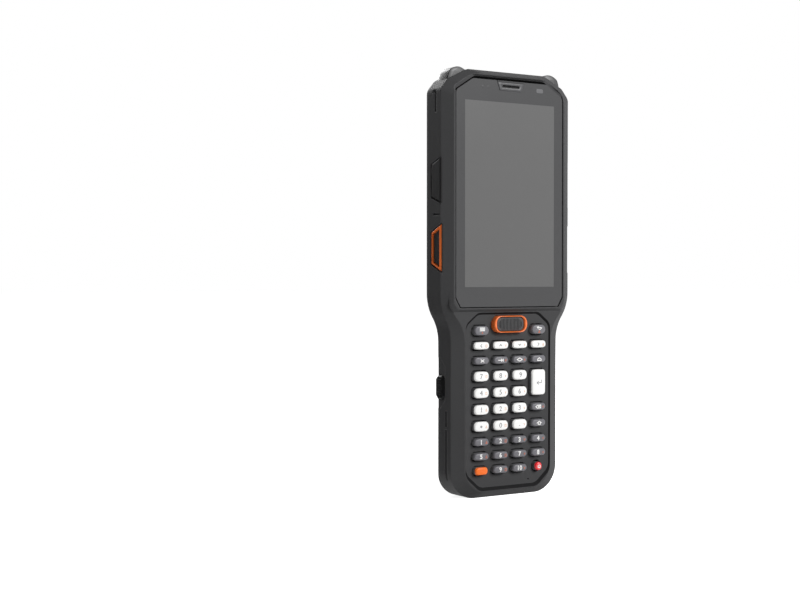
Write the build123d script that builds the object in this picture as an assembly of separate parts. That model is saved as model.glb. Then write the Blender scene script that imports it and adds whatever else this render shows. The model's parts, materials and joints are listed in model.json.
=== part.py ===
from build123d import *
import math
import os

# Handheld barcode data terminal: a display head with a scanner hump, a narrower
# keypad grip and a clip-on battery. X runs to the right of someone who faces the
# display, -Y is the display side and +Z is up. The origin is the middle of the
# footprint. A depth is measured back from the key tops. Sizes are millimetres.

# Overall
HEAD_W = 75.0
TOTAL_H = 202.6
BUMPER_RISE = 1.0  # corner bumpers above the housing's top edge
BUMPER_D = (5.6, 13.4)  # front and rear of the corner bumpers
SHELL_D = 20.4  # front plane to the flat rails of the back
HUMP_RISE = 12.0  # scanner hump above the rails
HORN_RISE = 1.0  # horns behind the scanner hump
PARTING_D = 15.5  # joint between the two housings

# Outline seen from the front
FOOT_R = 13.2
SHOULDER_Z = 85.15  # middle of the S curve between grip and head
SHOULDER_H = 10.7
CORNER_W = 15.0
CORNER_H = 10.2
CORNER_BEND_W = 4.0
CORNER_BEND_H = 5.4
CORNER_R = 4.0

# Bevel round the front rim and round the back
RIM_HEAD_D = 0.8
RIM_GRIP_D = 2.2
RIM_IN_HEAD = 5.2
RIM_IN_GRIP = 5.9
RIM_IN_FOOT = 3.0
RIM_IN_TOP = 2.0
BEVEL_HEAD_D = 4.5
BEVEL_GRIP_D = 5.6
STEP_LOW = 2.4  # the head's raised front below the glass, at the grip's rim
BACK_IN_HEAD = 4.0
BACK_IN_FOOT = 8.5
BACK_IN_TOP = 7.0
BACK_IN_GRIP = 4.0
BACK_CORNER = 0.7  # corner cut of the back, as a share of the front's
HEAD_EDGE_D = 16.1  # depth at which the head's back bevel starts
GRIP_EDGE_D = 16.2  # depth at which the grip's back bevel starts
FOOT_EDGE_D = 17.6  # depth at which the back's lower bevel starts

# Walls and fits
HEAD_WALL = 4.0
GRIP_WALL = 3.0
WALL = 2.0
THIN_WALL = 1.2
FIT = 0.1  # between pieces that are fixed to each other
RUNNING = 0.25  # round a piece that moves
SEAT_GAP = 0.2  # between a moving piece and the wall that it rests against

# Display
GLASS_W = 62.2
GLASS_BELOW_SHOULDER = 0.2  # lower edge of the glass below the S curve's top
GLASS_MARGIN_TOP = 4.6
GLASS_T = 1.6
GLASS_SUNK = 0.2  # glass behind the head's rim
GLASS_CUT_TOP = (9.5, 6.0)
GLASS_CUT_FOOT = (2.7, 4.5)
GLASS_GROOVE = 0.5  # width of the groove round the glass
GLASS_GROOVE_TOP = 1.4  # how much wider the groove is along the top
GLASS_GROOVE_D = 1.0
LCD_BORDER_X = 2.8
LCD_BORDER_TOP = 8.0
LCD_BORDER_FOOT = 7.5
LCD_T = 2.7
EARPIECE_W = 16.0
EARPIECE_H = 4.4
EARPIECE_SLOT = (10.0, 1.1)

# Keypad
COLUMN_PITCH = 11.17
FUNCTION_PITCH = 6.8
NUMBER_PITCH = 7.84
UPPER_PITCH = 7.07
BLOCK_GAP = 7.37
FIRST_ROW_Z = 13.2
PANEL_SIDE = 2.0  # panel beside the outer columns, past half a pitch
PANEL_FOOT = 5.1
PANEL_TOP = 86.7
PANEL_D = 2.8
PANEL_T = 1.6
PANEL_SLOPE = (0.5, 1.6, 0.9)  # width of the recess wall: sides, foot and top
KEY_TRAVEL = 0.8
KEY_EDGE = 0.5
FLANGE_T = 0.7
FLANGE_LIP = 0.6
MEMBRANE_T = 1.0
NUMBER_CAP = (COLUMN_PITCH - 2.6, NUMBER_PITCH - 2.7, 0.9)  # width, height, corner cut
ARROW_CAP = (COLUMN_PITCH - 2.3, UPPER_PITCH - 3.0, 0.9)
OVAL_CAP = (COLUMN_PITCH - 2.5, FUNCTION_PITCH - 2.8, 1.2)
MENU_CAP = (COLUMN_PITCH - 2.6, UPPER_PITCH - 2.1, 1.4)
ENTER_CAP = (COLUMN_PITCH - 2.8, 2 * NUMBER_PITCH - 2.9, 0.9)
FN_CAP = (COLUMN_PITCH - 3.8, FUNCTION_PITCH - 2.7, 1.0)
POWER_CAP = (5.2, 5.2, 1.52)
SCAN_Z = 82.0
SCAN_RING = (2 * COLUMN_PITCH - 2.9, 8.0, 2.3)
SCAN_PAD = (2 * COLUMN_PITCH - 7.7, 5.4, 1.6)
SCAN_PAD_SUNK = 0.3  # pad below the other keys
SCAN_RING_SEAT = 1.0  # depth of the ring's seat in the panel
MIC_HOLE = (0.5, 12.1, 7.2)  # radius, x and z

# Side controls of the head: depth and half length of the front and rear edges
TRIGGER_Z = 117.9
TRIGGER_EDGES = ((4.6, 10.9), (12.6, 7.4))
TRIGGER_RING = 1.1
TRIGGER_TRAVEL = 1.0
ROCKER_Z = 149.3
ROCKER_EDGES = ((4.9, 10.3), (12.5, 7.6))
SIDE_KEY_TRAVEL = 0.8
SIDE_FACE_IN = 0.1  # faces of the controls inside the head's width
SIDE_DISH = 1.0  # depth of the dish round each control
SIDE_DISH_RIM = 0.5
SIDE_SLOT = (5.0, 10.8, 133.0, 134.1)  # front and rear depth, low and high z
CORNER_GROOVE = ((8.0, 9.2, 181.0, 191.2), (9.2, 11.2, 190.0, 191.2))

# Battery
BATTERY_W = 48.0
BATTERY_FLAT_W = 32.8
BATTERY_RISE = 9.0
BATTERY_FOOT = 19.6
BATTERY_TOP = 98.9
BATTERY_BAY_D = 14.0
BATTERY_GAP = 0.3
GRIP_SIDE = 7.0  # housing on each side of the battery
STRAP_SLOT_H = 5.0
STRAP_SLOT_D = 4.2
STRAP_BAR = 2.4
LOWER_SLOT_W = 26.7
LOWER_SLOT_Z = 26.0
UPPER_SLOT_W = 35.0
UPPER_SLOT_Z = 136.8
LOGO_PLACE = (8.6, 39.5, 59.2)  # width, height and middle of the shallow recess
PRY_IN = 1.5  # finger channel inside the grip's sides
PRY_FOOT = 16.4
PRY_TOP = 32.4
PRY_D = 3.6

# Battery latches, one on each side of the grip
LATCH_Z = 52.3
LATCH_H = 11.4
LATCH_D = 7.0
LATCH_AT_D = 14.6
LATCH_CUT = 1.7
LATCH_PROUD = 0.5
LATCH_EDGE = 0.7
LATCH_TRAVEL = 1.0
LATCH_DISH = (14.0, 24.0, 4.0, 17.5, 54.4)  # deep, tall, corner cut and middle
LATCH_DISH_D = 0.35

# Back of the head
HUMP_BASE_W = 53.2
HUMP_FLAT_W = 41.4
HUMP_FOOT = 142.4
CAMERA_BASE_W = 50.0
CAMERA_FLAT_W = 40.0
CAMERA_RISE = 8.7
SKIRT = (2.4, 2.6)  # slanted foot of the walls: reach and rise
ARCH_Z = 154.1
ARCH_SLOPE = 4.3
SCOOP_RISE = 3.5
SCOOP_TOP = 131.4
SCOOP_SPREAD = 14.9  # how far the scoop's lower slope runs down the battery
PILL = (33.0, 9.8)
PILL_AT = (-1.0, 147.9)
PILL_D = 1.0
LENS_OFFSET = 10.6
LENS_R = 4.0
SPEAKER_X = 18.6
SPEAKER_SLOT = (7.1, 1.1)
SPEAKER_PITCH = 2.8
SPEAKER_SLOTS = 5
SPEAKER_Z = 120.5
SPEAKER_BODY = (8.6, 15.0, 2.6)

# Nose over the scanner
NOSE_H = 9.6  # groove to the nose's top
NOSE_BELOW_TOP = 3.4
NOSE_BAND = (4.2, 1.2)  # height and depth of the slanted band between the horns
HORN_BELOW_TOP = 2.6
HORN_SLOPE = (2.8, 4.7)  # width and height of the horns' outer corner cut
HORN_INNER = 13.5
HORN_OUTER = 25.0
WINDOW = (25.0, 8.4, 1.2)
WINDOW_SUNK = 1.4
ENGINE = (21.0, 8.6, 15.0)

# Screws
SCREW_HEAD_R = 1.55
SCREW_HEAD_T = 1.1
SCREW_R = 0.95
SCREW_L = 8.0
SCREW_HOLE_R = 1.7
SCREW_SEAT = 0.6  # screw heads behind the joint of the housings
BOSS_R = 2.7
HEAD_SCREW_IN = 7.0
HEAD_SCREW_ZS = (167.4, 133.0, 93.0)
TOP_SCREW_IN = (9.5, 7.0)  # from the head's side and from its top edge
GRIP_SCREW = (2.6, 61.6)  # from the grip's side, and z
FOOT_SCREW = (5.4, 7.8)

# Inside
BOARD_T = 1.2
SHIELDS = ((34.0, 1.8, 119.4, 151.4), (30.0, 1.6, 157.4, 179.4))  # width, rise, low, high
CONNECTOR = (26.0, 23.4, 31.4)  # width, low and high
CONTACTS = (20.0, 3.4, 3.9)  # width, height and middle of the charging contacts
CONTACT_COUNT = 8
SIDE_GROOVES = ((8.6, 10.2, 8.9, 32.7), (8.6, 10.2, 34.1, 41.4))

# Worked out
GRIP_W = BATTERY_W + 2 * GRIP_SIDE
TOTAL_D = SHELL_D + HUMP_RISE + HORN_RISE
RIM_Y = -TOTAL_D / 2
BODY_TOP = TOTAL_H - BUMPER_RISE
HUMP_D = SHELL_D + HUMP_RISE
CAMERA_D = SHELL_D + CAMERA_RISE
SCOOP_D = SHELL_D + SCOOP_RISE
BATTERY_D = SHELL_D + BATTERY_RISE
HEAD_HALF = HEAD_W / 2
GRIP_HALF = GRIP_W / 2
SHOULDER_TOP = SHOULDER_Z + SHOULDER_H / 2
GLASS_FRONT_D = RIM_HEAD_D + GLASS_SUNK
GLASS_BACK_D = GLASS_FRONT_D + GLASS_T
GLASS_TOP = BODY_TOP - GLASS_MARGIN_TOP
GLASS_FOOT = SHOULDER_TOP - GLASS_BELOW_SHOULDER
PANEL_W = 4 * COLUMN_PITCH + 2 * PANEL_SIDE
PANEL_BACK_D = PANEL_D + PANEL_T
FLANGE_D = PANEL_BACK_D + SEAT_GAP
MEMBRANE_D = FLANGE_D + FLANGE_T + KEY_TRAVEL + SEAT_GAP
BOARD_D = MEMBRANE_D + MEMBRANE_T
NUMBER_Z = FIRST_ROW_Z + 2 * FUNCTION_PITCH + BLOCK_GAP
UPPER_Z = NUMBER_Z + 3 * NUMBER_PITCH + BLOCK_GAP
SIDE_FACE = HEAD_HALF - SIDE_FACE_IN
DISH_FLOOR = HEAD_HALF - SIDE_DISH
HEAD_INSIDE = HEAD_HALF - HEAD_WALL
GRIP_INSIDE = GRIP_HALF - GRIP_WALL

os.makedirs("parts", exist_ok=True)


def save(node, *pieces):
    """Write one node; several pieces stay separate solids."""
    solids = [solid for piece in pieces for solid in piece.solids()]
    shape = solids[0] if len(solids) == 1 else Compound(solids)
    export_step(shape, f"parts/{node}.step")


def at_depth(depth):
    """Plane across the terminal at a depth: local x is X and local y is Z."""
    return Plane(origin=(0, RIM_Y + depth, 0), x_dir=(1, 0, 0), z_dir=(0, -1, 0))


def slab(shape, near, far):
    """Extrude an X-Z outline from one depth to another."""
    return extrude(at_depth(far) * shape, far - near, dir=(0, -1, 0))


def side_slab(shape, inner, outer):
    """Extrude a depth-Z outline along X between two distances from the middle."""
    plane = Plane(origin=(inner, RIM_Y, 0), x_dir=(0, 1, 0), z_dir=(1, 0, 0))
    return extrude(plane * shape, outer - inner, dir=(1, 0, 0))


def column(shape, low, high):
    """Extrude an X-depth outline along Z between two heights."""
    plane = Plane(origin=(0, RIM_Y, low), x_dir=(1, 0, 0), z_dir=(0, 0, 1))
    return extrude(plane * shape, high - low, dir=(0, 0, 1))


def other_side(piece):
    return mirror(piece, about=Plane.YZ)


def both_sides(piece):
    return piece + other_side(piece)


def blank(points, radii=0):
    """Face inside a closed line of points, with each corner rounded to its radius."""
    if radii == 0:
        return make_face(Polyline(*points, close=True).edges())
    if isinstance(radii, (int, float)):
        radii = [radii] * len(points)
    return make_face(FilletPolyline(*points, radius=radii, close=True).edges())


def symmetric(right, radii=0):
    """Face whose right half is given by its points, from the bottom to the top."""
    if isinstance(radii, (int, float)):
        radii = [radii] * len(right)
    left = [(-x, z) for x, z in reversed(right)]
    return blank(right + left, list(radii) + list(reversed(radii)))


def rounded(width, height, corner, x=0, z=0):
    return Pos(x, z) * RectangleRounded(width, height, corner)


def cut_corners(width, height, cut, x=0, z=0):
    """Rectangle with four straight corner cuts."""
    half_w, half_h = width / 2, height / 2
    points = [
        (half_w - cut, -half_h),
        (half_w, cut - half_h),
        (half_w, half_h - cut),
        (half_w - cut, half_h),
    ]
    points += [(-px, pz) for px, pz in reversed(points)]
    return make_face(Polyline(*[(x + px, z + pz) for px, pz in points], close=True).edges())


def block(width, near, far, low, high):
    """Box centred on X between two depths and two heights."""
    return slab(Pos(0, (low + high) / 2) * Rectangle(width, high - low), near, far)


def outline(half_head, half_grip, foot, top, foot_r=FOOT_R, corner=1.0):
    """Front outline: round foot, straight grip, S shoulder, head with cut corners."""
    step = half_head - half_grip
    turn = math.atan2(step, SHOULDER_H)
    shoulder_r = 0.48 * math.hypot(step, SHOULDER_H) / abs(math.tan(turn / 2))
    right = [
        (half_grip, foot),
        (half_grip, SHOULDER_Z - SHOULDER_H / 2),
        (half_head, SHOULDER_Z + SHOULDER_H / 2),
        (half_head, top - corner * CORNER_H),
        (half_head - corner * CORNER_BEND_W, top - corner * CORNER_BEND_H),
        (half_head - corner * CORNER_W, top),
    ]
    return symmetric(right, [foot_r, shoulder_r, shoulder_r, CORNER_R, CORNER_R, CORNER_R])


def body_outline():
    return outline(HEAD_HALF, GRIP_HALF, 0, BODY_TOP)


def front_outline(depth):
    """Outline of the front bevels at a depth, before the sides cut them off."""
    head = (depth - RIM_HEAD_D) / (BEVEL_HEAD_D - RIM_HEAD_D) - 1
    grip = (depth - RIM_GRIP_D) / (BEVEL_GRIP_D - RIM_GRIP_D) - 1
    return outline(
        HEAD_HALF + RIM_IN_HEAD * head,
        GRIP_HALF + RIM_IN_GRIP * grip,
        -RIM_IN_FOOT * grip,
        BODY_TOP + RIM_IN_TOP * head,
        FOOT_R + RIM_IN_FOOT * grip / 2,
    )


def raised_outline(depth):
    """Outline of the head's raised front, which slopes down to the keypad."""
    head = (depth - RIM_HEAD_D) / (BEVEL_HEAD_D - RIM_HEAD_D) - 1
    step = (depth - RIM_HEAD_D) / (RIM_GRIP_D - RIM_HEAD_D)
    half = HEAD_HALF + RIM_IN_HEAD * head
    top = BODY_TOP + RIM_IN_TOP * head
    low = GLASS_FOOT - 2 * GLASS_GROOVE + (2 * GLASS_GROOVE - STEP_LOW) * step
    right = [
        (half - 2.2, low),
        (half, low + 3.0),
        (half, top - CORNER_H),
        (half - CORNER_BEND_W, top - CORNER_BEND_H),
        (half - CORNER_W, top),
    ]
    return symmetric(right, [1.5, 3.0, CORNER_R, CORNER_R, CORNER_R])


def inside_outline():
    return outline(HEAD_INSIDE, GRIP_INSIDE, THIN_WALL + WALL, BODY_TOP - HEAD_WALL)


# ---- keypad layout ----


def key_rows():
    """Every keypad key as (name, x, z, cap)."""
    number_z = [NUMBER_Z + NUMBER_PITCH * i for i in range(4)]
    upper_z = [UPPER_Z + UPPER_PITCH * i for i in range(3)]
    function_z = [FIRST_ROW_Z + FUNCTION_PITCH * i for i in range(3)]
    rows = [
        (upper_z[2], MENU_CAP, ("menu", None, None, "back")),
        (upper_z[1], ARROW_CAP, ("left", "up", "down", "right")),
        (upper_z[0], OVAL_CAP, ("esc", "tab", "alt", "ctrl")),
        (number_z[3], NUMBER_CAP, ("7", "8", "9")),
        ((number_z[3] + number_z[2]) / 2, ENTER_CAP, (None, None, None, "enter")),
        (number_z[2], NUMBER_CAP, ("4", "5", "6")),
        (number_z[1], NUMBER_CAP, ("1", "2", "3")),
        (number_z[1], OVAL_CAP, (None, None, None, "backspace")),
        (number_z[0], NUMBER_CAP, ("star", "0", "point")),
        (number_z[0], OVAL_CAP, (None, None, None, "shift")),
        (function_z[2], OVAL_CAP, ("f1", "f2", "f3", "f4")),
        (function_z[1], OVAL_CAP, ("f5", "f6", "f7", "f8")),
        (function_z[0], FN_CAP, ("fn",)),
        (function_z[0], OVAL_CAP, (None, "f9", "f10")),
        (function_z[0], POWER_CAP, (None, None, None, "power")),
    ]
    keys = []
    for z, cap, names in rows:
        for place, name in enumerate(names):
            if name:
                keys.append((name, COLUMN_PITCH * (place - 1.5), z, cap))
    return keys


def grown(cap, by):
    """Cap outline with an even gap all round it."""
    width, height, cut = cap
    return (width + 2 * by, height + 2 * by, cut + by * (2 - math.sqrt(2)))


def key_piece(x, z, cap, top=0.0):
    """Hard cap with a bevelled edge on a wider flange that holds it in the panel."""
    cap_body = slab(cut_corners(*cap, x, z), top, FLANGE_D)
    face = cap_body.faces().sort_by(Axis.Y)[0]
    cap_body = chamfer(face.edges(), KEY_EDGE)
    width, height, _ = grown(cap, FLANGE_LIP)
    flange = slab(Pos(x, z) * Rectangle(width, height), FLANGE_D, FLANGE_D + FLANGE_T)
    return cap_body + flange


def scan_key():
    return key_piece(0, SCAN_Z, SCAN_PAD, SCAN_PAD_SUNK)


def scan_key_bezel():
    """Orange ring seated in the keypad panel round the scan key."""
    ring = slab(cut_corners(*SCAN_RING, 0, SCAN_Z), 0, PANEL_D + SCAN_RING_SEAT)
    face = ring.faces().sort_by(Axis.Y)[0]
    ring = chamfer(face.edges(), KEY_EDGE)
    hole = cut_corners(*grown(SCAN_PAD, RUNNING), 0, SCAN_Z)
    return ring - slab(hole, 0, PANEL_D + SCAN_RING_SEAT)


def recess(rim):
    """Keypad recess at its floor (0) or at the grip's rim (1)."""
    side, foot, top = [rim * slope for slope in PANEL_SLOPE]
    half = PANEL_W / 2 + side
    low, high = PANEL_FOOT - foot, PANEL_TOP + top
    right = [(half - 8.0, low), (half, low + 7.0), (half, high - 5.5), (half - 7.0, high)]
    return symmetric(right, [6.0, 6.0, 5.0, 5.0])


def keypad_cuts():
    """Panel recess, key holes and the chamber behind the panel."""
    cuts = loft([at_depth(RIM_GRIP_D) * recess(1), at_depth(PANEL_D) * recess(0)], ruled=True)
    cuts += slab(chamber_outline(), PANEL_BACK_D, BOARD_D)
    for _, x, z, cap in key_rows():
        cuts += slab(cut_corners(*grown(cap, RUNNING), x, z), PANEL_D, PANEL_BACK_D)
    cuts += slab(cut_corners(*grown(SCAN_RING, FIT), 0, SCAN_Z), 0, PANEL_D + SCAN_RING_SEAT)
    cuts += slab(cut_corners(*grown(SCAN_PAD, RUNNING), 0, SCAN_Z), PANEL_D, PANEL_BACK_D)
    radius, x, z = MIC_HOLE
    return cuts + slab(Pos(x, z) * RegularPolygon(radius, 6), PANEL_D, PANEL_BACK_D)


def chamber_outline(gap=0):
    """Room for the key flanges and the membrane, less a gap all round."""
    half = PANEL_W / 2 + 0.4 - gap
    low = FIRST_ROW_Z - 4.6 + gap
    high = SCAN_Z + 4.6 - gap
    return symmetric([(half, low), (half, high)], 1.5)


def keypad_membrane():
    return slab(chamber_outline(SEAT_GAP), MEMBRANE_D, BOARD_D)


# ---- display ----


def glass_outline(grow=0, rise=0):
    """Cover glass with cut corners and a notch for the earpiece."""
    half = GLASS_W / 2 + grow
    low = GLASS_FOOT - grow
    high = GLASS_TOP + grow + rise
    right = [
        (half - GLASS_CUT_FOOT[0], low),
        (half, low + GLASS_CUT_FOOT[1]),
        (half, high - GLASS_CUT_TOP[1]),
        (half - GLASS_CUT_TOP[0], high),
    ]
    return symmetric(right, [0.8, 2.0, 2.5, 2.5]) - earpiece_tab(min(grow, FIT))


def earpiece_tab(gap):
    """Tongue of the housing that fills the notch in the glass."""
    wide = EARPIECE_W / 2 - gap
    return symmetric([(wide - 1.6, GLASS_TOP - EARPIECE_H + gap), (wide, GLASS_TOP)])


def display_glass():
    return slab(glass_outline(), GLASS_FRONT_D, GLASS_BACK_D)


def lcd_outline(grow=0):
    low = GLASS_FOOT + LCD_BORDER_FOOT - grow
    high = GLASS_TOP - LCD_BORDER_TOP + grow
    width = GLASS_W - 2 * LCD_BORDER_X + 2 * grow
    return Pos(0, (low + high) / 2) * Rectangle(width, high - low)


def lcd_module():
    return slab(lcd_outline(), GLASS_BACK_D, GLASS_BACK_D + LCD_T)


def display_cuts():
    cuts = slab(glass_outline(FIT), 0, GLASS_BACK_D)
    groove = glass_outline(GLASS_GROOVE, GLASS_GROOVE_TOP)
    cuts += slab(groove, 0, GLASS_FRONT_D + GLASS_GROOVE_D)
    cuts += slab(lcd_outline(SEAT_GAP), GLASS_BACK_D, BOARD_D)
    earpiece = rounded(*EARPIECE_SLOT, 0.5, 0, GLASS_TOP - EARPIECE_H / 2 - 0.3)
    cuts += slab(earpiece, 0, BOARD_D)
    return cuts


# ---- side controls ----


def side_shape(edges, z, grow=0):
    """Four-sided control outline, long at the front edge and short at the rear."""
    (front_d, front_half), (rear_d, rear_half) = edges
    lean = math.atan2(front_half - rear_half, rear_d - front_d)
    stretch = grow * (1 / math.cos(lean))
    front_more = stretch + grow * math.tan(lean)
    rear_more = stretch - grow * math.tan(lean)
    return blank(
        [
            (front_d - grow, z - front_half - front_more),
            (rear_d + grow, z - rear_half - rear_more),
            (rear_d + grow, z + rear_half + rear_more),
            (front_d - grow, z + front_half + front_more),
        ]
    )


def side_trigger():
    """Right side trigger: a pad through its ring, on a flange behind the wall."""
    pad = side_slab(
        side_shape(TRIGGER_EDGES, TRIGGER_Z, -TRIGGER_RING - RUNNING),
        HEAD_INSIDE - SEAT_GAP,
        SIDE_FACE - 0.4,
    )
    outer = pad.faces().sort_by(Axis.X)[-1]
    pad = chamfer(outer.edges(), KEY_EDGE)
    flange = side_slab(
        side_shape(TRIGGER_EDGES, TRIGGER_Z, -TRIGGER_RING + FLANGE_LIP),
        HEAD_INSIDE - SEAT_GAP - FLANGE_T,
        HEAD_INSIDE - SEAT_GAP,
    )
    return pad + flange


def side_trigger_bezel():
    ring = side_slab(side_shape(TRIGGER_EDGES, TRIGGER_Z), HEAD_INSIDE + THIN_WALL, SIDE_FACE)
    outer = ring.faces().sort_by(Axis.X)[-1]
    ring = chamfer(outer.edges(), KEY_EDGE)
    inner = side_shape(TRIGGER_EDGES, TRIGGER_Z, -TRIGGER_RING)
    return ring - side_slab(inner, HEAD_INSIDE, HEAD_HALF)


def side_trigger_cuts():
    dish = side_shape(TRIGGER_EDGES, TRIGGER_Z, SIDE_DISH_RIM)
    seat = side_shape(TRIGGER_EDGES, TRIGGER_Z, FIT)
    hole = side_shape(TRIGGER_EDGES, TRIGGER_Z, -TRIGGER_RING)
    room = side_shape(TRIGGER_EDGES, TRIGGER_Z, -TRIGGER_RING + FLANGE_LIP + RUNNING)
    cuts = side_slab(dish, DISH_FLOOR, HEAD_HALF + 1)
    cuts += side_slab(seat, HEAD_INSIDE + THIN_WALL, HEAD_HALF)
    cuts += side_slab(hole, HEAD_INSIDE - 1, HEAD_HALF)
    inner = HEAD_INSIDE - SEAT_GAP - FLANGE_T - TRIGGER_TRAVEL - RUNNING
    cuts += side_slab(room, inner, HEAD_INSIDE)
    return cuts


def side_key():
    """Long key in the right side of the head, with a short flange inside."""
    key = side_slab(
        side_shape(ROCKER_EDGES, ROCKER_Z),
        HEAD_INSIDE - SEAT_GAP - FLANGE_T / 2,
        SIDE_FACE,
    )
    outer = key.faces().sort_by(Axis.X)[-1]
    key = chamfer(outer.edges(), KEY_EDGE)
    return key + side_slab(
        side_key_flange(),
        HEAD_INSIDE - SEAT_GAP - FLANGE_T,
        HEAD_INSIDE - SEAT_GAP,
    )


def side_key_flange(grow=0):
    (front_d, _), (rear_d, rear_half) = ROCKER_EDGES
    deep = rear_d - front_d + 2 * FLANGE_LIP + 2 * RUNNING
    tall = rear_half * 1.3
    middle = (front_d + rear_d) / 2
    return Pos(middle, ROCKER_Z) * Rectangle(deep + 2 * grow, tall + 2 * grow)


def side_key_cuts():
    dish = side_shape(ROCKER_EDGES, ROCKER_Z, SIDE_DISH_RIM)
    hole = side_shape(ROCKER_EDGES, ROCKER_Z, RUNNING)
    inner = HEAD_INSIDE - SEAT_GAP - FLANGE_T - SIDE_KEY_TRAVEL - RUNNING
    cuts = side_slab(dish, DISH_FLOOR, HEAD_HALF + 1)
    cuts += side_slab(hole, inner, HEAD_HALF)
    cuts += side_slab(side_key_flange(RUNNING), inner, HEAD_INSIDE)
    return cuts


# ---- housings ----


def screw_places():
    """(x, z) of the six screws of the right half."""
    head_x = HEAD_HALF - HEAD_SCREW_IN
    top = (HEAD_HALF - TOP_SCREW_IN[0], BODY_TOP - TOP_SCREW_IN[1])
    grip = [(GRIP_HALF - inset, z) for inset, z in (GRIP_SCREW, FOOT_SCREW)]
    return [top] + [(head_x, z) for z in HEAD_SCREW_ZS] + grip


def at_screws(shape):
    """The shape at every screw of both halves, to extrude."""
    return [Pos(side * x, z) * shape for x, z in screw_places() for side in (1, -1)]


def boss(gap=0.0):
    """Eight-sided screw post that is hidden inside the housings."""
    return RegularPolygon(BOSS_R + gap, 8, major_radius=False)


def shank_hole():
    return RegularPolygon(SCREW_R + FIT / 2, 6, major_radius=False)


def front_housing():
    """Front moulding: bevelled rim, display and keypad openings, hollow behind."""
    flare = front_outline(BEVEL_GRIP_D)
    rim = at_depth(RIM_GRIP_D) * front_outline(RIM_GRIP_D)
    bevelled = loft([rim, at_depth(BEVEL_GRIP_D) * flare], ruled=True)
    bevelled += slab(flare, BEVEL_GRIP_D, PARTING_D)
    raised = [at_depth(depth) * raised_outline(depth) for depth in (RIM_HEAD_D, RIM_GRIP_D)]
    shell = slab(body_outline(), 0, PARTING_D) & bevelled
    shell += loft(raised, ruled=True)
    shell -= slab(inside_outline(), BOARD_D, PARTING_D)
    for disc in at_screws(boss()):
        shell += slab(disc, BOARD_D, PARTING_D) & slab(body_outline(), 0, PARTING_D)
    shell -= display_cuts()
    shell -= keypad_cuts()
    shell -= both_sides(side_trigger_cuts())
    shell -= both_sides(side_key_cuts())
    for disc in at_screws(shank_hole()):
        shell -= slab(disc, PARTING_D - SCREW_L, PARTING_D)
    shell -= both_sides(latch_cuts())
    shell -= both_sides(side_grooves(SIDE_GROOVES, GRIP_HALF))
    shell -= both_sides(side_grooves((SIDE_SLOT,) + CORNER_GROOVE, HEAD_HALF))
    return shell


def side_grooves(grooves, half):
    """Shallow grooves in the right side, each with its depths and heights."""
    cuts = []
    for near, far, low, high in grooves:
        strip = Pos((near + far) / 2, (low + high) / 2) * Rectangle(far - near, high - low)
        cuts.append(side_slab(strip, half - 0.8, half + 1))
    return Part() + cuts


def hump_section(base_w, flat_w, base_d, top_d, top_r):
    """X-depth section of a raised part of the back, with rounded top edges."""
    return symmetric(
        [(base_w / 2, base_d), (flat_w / 2 + (base_w - flat_w) / 8, top_d)], [0, top_r]
    )


def arch_cutter():
    """Sloped arch between the scanner hump and the lower camera part."""
    inner = symmetric(
        [(CAMERA_BASE_W / 2 - 0.4, HUMP_FOOT - 20), (CAMERA_BASE_W / 2 - 0.4, ARCH_Z)], [0, 11]
    )
    outer_half = CAMERA_BASE_W / 2 + ARCH_SLOPE
    outer = symmetric(
        [(outer_half, HUMP_FOOT - 20), (outer_half, ARCH_Z + ARCH_SLOPE)], [0, 14]
    )
    far = HUMP_D + HORN_RISE
    return loft([at_depth(CAMERA_D) * inner, at_depth(far) * outer], ruled=True)


def scoop_cutter():
    """Finger scoop that runs from the back of the head down over the battery's top."""
    half = CAMERA_BASE_W / 2
    inner = symmetric([(half, BATTERY_TOP), (half, SCOOP_TOP)], [0.5, 6.5])
    outer = symmetric(
        [(half + 3, BATTERY_TOP - SCOOP_SPREAD), (half + 3, SCOOP_TOP + 2)], [12.0, 8.0]
    )
    return loft([at_depth(SCOOP_D) * inner, at_depth(BATTERY_D) * outer], ruled=True)


def nose():
    """Cap over the scanner's exit, with two horns beside the window."""
    top = BODY_TOP - NOSE_BELOW_TOP
    low = top - NOSE_H
    section = hump_section(HUMP_BASE_W + 1.4, HUMP_FLAT_W + 1.2, PARTING_D, HUMP_D + 0.4, 5)
    cap = column(section, low, top)
    horn_top = BODY_TOP - HORN_BELOW_TOP
    horn = [
        (HORN_INNER, SHELL_D),
        (HORN_OUTER, SHELL_D),
        (HORN_OUTER, HUMP_D - 3),
        (HORN_OUTER - 4, TOTAL_D),
        (HORN_INNER + 1.5, TOTAL_D),
        (HORN_INNER, TOTAL_D - 1.5),
    ]
    slope_w, slope_h = HORN_SLOPE
    slope = [
        (HORN_OUTER - slope_w, horn_top),
        (HORN_OUTER, horn_top - slope_h),
        (HORN_OUTER + 1, horn_top),
        (HORN_OUTER + 1, horn_top + 1),
        (HORN_OUTER - slope_w, horn_top + 1),
    ]
    horn_body = column(blank(horn), low, horn_top) - slab(blank(slope), SHELL_D, TOTAL_D + 1)
    cap += both_sides(horn_body)
    cap -= column(Pos(0, HUMP_D + 5) * Rectangle(2 * HORN_INNER, HUMP_RISE), low - 1, top + 1)
    cap -= nose_band(top)
    return cap - section_band(low)


def nose_band(top):
    """Slanted band along the nose's rear edge, between the horns."""
    tall, deep = NOSE_BAND
    face = HUMP_D - 1
    wedge = blank(
        [(face - deep, top), (face, top - tall), (face + 2, top - tall), (face + 2, top + 1),
         (face - deep, top + 1)]
    )
    return side_slab(wedge, -HORN_INNER, HORN_INNER)


def section_band(z):
    """Thin groove between the nose and the hump."""
    outer = hump_section(HUMP_BASE_W + 6, HUMP_FLAT_W + 6, SHELL_D, HUMP_D + 3, 5)
    inner = hump_section(HUMP_BASE_W - 0.6, HUMP_FLAT_W - 0.6, SHELL_D - 1, HUMP_D - 0.5, 5)
    return column(outer, z - 0.3, z + 0.3) - column(inner, z - 1, z + 1)


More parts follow.
